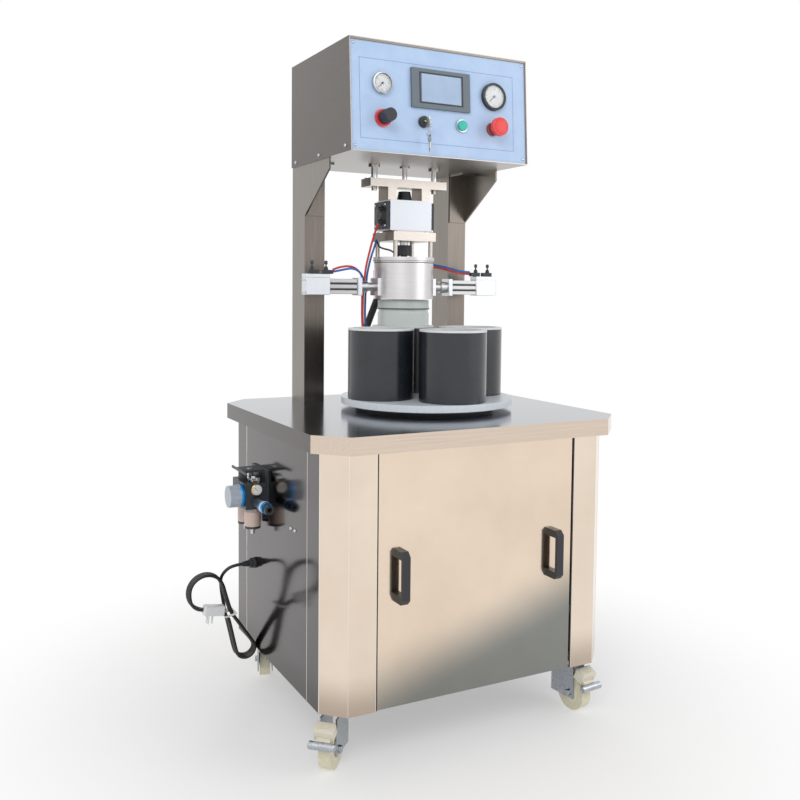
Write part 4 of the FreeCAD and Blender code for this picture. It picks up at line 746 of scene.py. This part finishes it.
# ---------------------------------------------------------------- filter unit
UNIT_X, UNIT_Y, UNIT_Z = -354.0, 60.0, 444.5
BOWL_PITCH = 46
for i in range(2):
    unit = move(UNIT_X, UNIT_Y + i * BOWL_PITCH, UNIT_Z)
    lathe("bowl_%d" % i, [(9.0, -45.0), (15.4, -42.5), (17.4, -38), (17.4, -3), (17.0, 0.4)],
          unit, "bowl_amber", "machine")
    lathe("bowl_collar_%d" % i, [(19.0, -8.0), (19.4, -7.2), (19.4, 0.6), (18.6, 1.2)],
          unit, "bowl_guard", "machine", ribs=12, rib_depth=0.8)
    lathe("bowl_drain_%d" % i, [(4.4, -56.5), (4.4, -50), (6.2, -49), (6.2, -44.6)],
          unit, "fitting_metal", "machine", steps=24)
lathe("dial_grip", [(21.0, 0.5), (23.4, 2), (23.4, 21), (22.4, 26), (18.0, 28.2), (0.5, 28.4)],
      move(UNIT_X - 21.5, UNIT_Y, UNIT_Z + 27) @ TO_MINUS_X, "dial_grey", "pressure_dial", steps=72, ribs=12,
      rib_depth=1.6)
lathe("dial_band", [(23.2, 0.0), (23.9, 1.0), (23.9, 8.0), (23.2, 9.0)],
      move(UNIT_X - 22.5, UNIT_Y, UNIT_Z + 27) @ TO_MINUS_X, "sleeve_blue", "pressure_dial", steps=64)

# Small gauge at the unit's front, with its pointer at rest
gauge_at = move(UNIT_X, UNIT_Y - 22, UNIT_Z + 42.1) @ TO_MINUS_Y
lathe("unit_gauge_case", [(12.2, 0), (12.4, 6.6), (11.4, 7.6), (10.6, 7.8)], gauge_at, "brass", "machine")
lathe("unit_gauge_card", [(10.4, 7.7), (10.4, 8.0)], gauge_at, "dial_face", "machine")
marks = bmesh.new()
for i in range(13):
    way = spin(DIAL_START + DIAL_SWEEP * i / 12)
    block(marks, (1.8, 0.4, 0.1), way @ Vector((8.6, 0, 8.05)), way)
block(marks, (9, 0.7, 0.1), (-2.4, 2.0, 8.1), spin(140))
piece("unit_gauge_marks", marks, "tick_black", "machine", gauge_at)

# Two elbows and two straight fittings on the unit's top
fittings = bmesh.new()
for y in (UNIT_Y + 4, UNIT_Y - 14):
    turned(fittings, [(5.0, 0), (5.0, 5), (6.6, 5.5), (6.6, 12), (4.6, 13)], move(UNIT_X + 6, y, UNIT_Z + 53), 6)
    turned(fittings, [(4.6, 0), (4.6, 11), (5.4, 11.5), (5.4, 14)], move(UNIT_X + 6, y, UNIT_Z + 60) @ TO_MINUS_X, 24)
turned(fittings, [(6.0, 0), (6.0, 6), (8.4, 6.5), (8.4, 15), (6.8, 16.5), (6.8, 22)],
       move(UNIT_X, UNIT_Y + 20, UNIT_Z + 58), 6)
turned(fittings, [(5.0, 0), (5.0, 9), (6.2, 9.5), (6.2, 16)], move(UNIT_X, UNIT_Y - 10, UNIT_Z + 53), 24)
piece("unit_fittings", fittings, "fitting_metal", "machine", edge=0.4)
lathe("sleeve_white_ring", [(12.2, 0), (12.4, 1), (12.4, 6), (12.2, 7)],
      move(UNIT_X, UNIT_Y - 75, UNIT_Z + 16.2) @ TO_MINUS_Y, "liner_white", "shutoff")
bracket = bmesh.new()
block(bracket, (3.0, 96.5, 5.6), (UNIT_X - 22.2, UNIT_Y + BOWL_PITCH / 2, UNIT_Z + 76.6))
piece("bracket_edge", bracket, "filter_grey", "machine", edge=0.5)

# ---------------------------------------------------------------- cord gland
gland = bmesh.new()
gland_at = move(WALL, CORD_Y, CORD_Z) @ TO_MINUS_X
turned(gland, [(12.5, 0), (12.5, 5), (11.2, 6), (11.2, 13), (9.0, 14)], gland_at, 6)
piece("gland_nut", gland, "black_plastic", "machine", edge=0.6)
profile = [(7.4, 14)]
for i in range(4):
    start, radius = 15 + i * 3.8, 7.4 - i * 0.7
    profile += [(radius, start), (radius, start + 2.0), (radius - 1.1, start + 2.3), (radius - 1.1, start + 3.5)]
lathe("strain_relief", profile, gland_at, "black_plastic", "machine", steps=32)

# ---------------------------------------------------------------- casters
# Place of each swivel and the way it points
CASTERS = {"front_left": (-275, -205, 227), "front_right": (275, -205, -84), "rear_left": (-275, 205, 72),
           "rear_right": (275, 205, 108)}
TRAIL, WHEEL_R = 30, 37.5
for tag, (x, y, angle) in CASTERS.items():
    stand = move(x, y, 0) @ spin(angle)
    plate = bmesh.new()
    for dx in (-21, 21):
        for dy in (-21, 21):
            turned(plate, [(5.4, 103.6), (5.4, 108.4), (3.0, 108.6), (3.0, 111)], move(x + dx, y + dy, 0), 6)
    piece("plate_bolts_" + tag, plate, "zinc", "machine", edge=0.3)
    lathe("ball_race_" + tag, [(23.4, 101), (24.6, 103), (24.6, 107), (22.6, 110.5)], move(x, y, 0), "zinc", "machine")
    nuts = bmesh.new()
    hub = bmesh.new()
    for outward in (TO_MINUS_Y, TO_Y):
        turned(nuts, [(7.4, 17.6), (7.4, 22.5), (6.0, 23.0)], move(TRAIL, 0, WHEEL_R) @ outward, 6)
        turned(hub, [(20.0, 11.9), (19.4, 12.5), (13.0, 12.6), (12.2, 13.6), (8.0, 13.8)],
               move(TRAIL, 0, WHEEL_R) @ outward)
    piece("axle_nuts_" + tag, nuts, "zinc", "fork_" + tag, stand, edge=0.4)
    piece("wheel_hub_" + tag, hub, "pedal_beige", "wheel_" + tag, stand)
    if tag.startswith("front"):
        lathe("pedal_roller_" + tag, [(6.6, -26), (7.8, -24.5), (7.8, 24.5), (6.6, 26)], move(80, 0, 64) @ TO_Y,
              "zinc", "pedal_" + tag, stand, 32)
        pad = bmesh.new()
        lean = Matrix.Rotation(math.radians(24), 4, "Y")
        block(pad, (24, 38, 24), (62, 0, 84), lean)
        for dx in (-8, -3, 2, 7):
            block(pad, (2.2, 34, 2.0), move(62, 0, 84) @ lean @ Vector((dx, 0, 12.6)), lean)
        piece("pedal_pad_" + tag, pad, "pedal_beige", "pedal_" + tag, stand, edge=0.8)

# ---------------------------------------------------------------- floor, world and lamps
# The floor takes shadow near the machine and fades to plain white from one distance to the other, in metres.
FLOOR_FADE = (0.35, 1.1)
ground, tree, output = blank("pale_studio_floor")
place = add_node(tree, "ShaderNodeTexCoord")
reach = add_node(tree, "ShaderNodeVectorMath", {0: place.outputs["Object"]}, operation="LENGTH")
fade = add_node(tree, "ShaderNodeMapRange", {"Value": reach.outputs["Value"], "From Min": FLOOR_FADE[0],
                                             "From Max": FLOOR_FADE[1], "To Min": 0.4},
                interpolation_type="SMOOTHSTEP")
matt = add_node(tree, "ShaderNodeBsdfDiffuse", {"Color": linear("#f4f4f4")})
glow = add_node(tree, "ShaderNodeEmission", {"Color": (1, 1, 1, 1), "Strength": 1.0})
both = add_node(tree, "ShaderNodeMixShader", {"Fac": fade.outputs["Result"], 1: matt.outputs[0], 2: glow.outputs[0]})
tree.links.new(both.outputs[0], output.inputs["Surface"])
bpy.ops.mesh.primitive_circle_add(vertices=96, radius=9.0, fill_type="NGON", location=(0, 0, -0.0005))
floor = bpy.context.object
floor.name = "floor"
floor.data.materials.append(ground)

# The room is white to the camera and in reflections and through glass, and softer as a light.
world = bpy.data.worlds.new("pale_room")
scene.world = world
world.use_nodes = True
tree = world.node_tree
tree.nodes.clear()
path = add_node(tree, "ShaderNodeLightPath")
seen = path.outputs["Is Camera Ray"]
for ray in ("Is Glossy Ray", "Is Transmission Ray"):
    seen = add_node(tree, "ShaderNodeMath", {0: seen, 1: path.outputs[ray]}, operation="MAXIMUM").outputs[0]
strength = add_node(tree, "ShaderNodeMapRange", {"Value": seen, "To Min": 0.55, "To Max": 1.0})
sky = add_node(tree, "ShaderNodeBackground", {"Color": (1, 1, 1, 1), "Strength": strength.outputs["Result"]})
add_node(tree, "ShaderNodeOutputWorld", {"Surface": sky.outputs[0]})

# Name, place in millimetres, side in metres and power in watts; all aim at the machine's middle.
LAMPS = (("key_lamp", (-1900, -2300, 2600), 1.6, 34), ("fill_lamp", (1900, -2000, 1700), 1.8, 16),
         ("rear_lamp", (300, 2200, 2400), 1.6, 14))
for name, spot, size, watts in LAMPS:
    light = bpy.data.lights.new(name, "AREA")
    light.shape = "SQUARE"
    light.size = size
    light.energy = watts
    aim = (at(0, 0, 750) - at(*spot)).to_track_quat("-Z", "Y").to_matrix().to_4x4()
    add_object(name, light).matrix_world = Matrix.Translation(at(*spot)) @ aim

scene.view_settings.view_transform = "Standard"

bpy.context.view_layer.update()
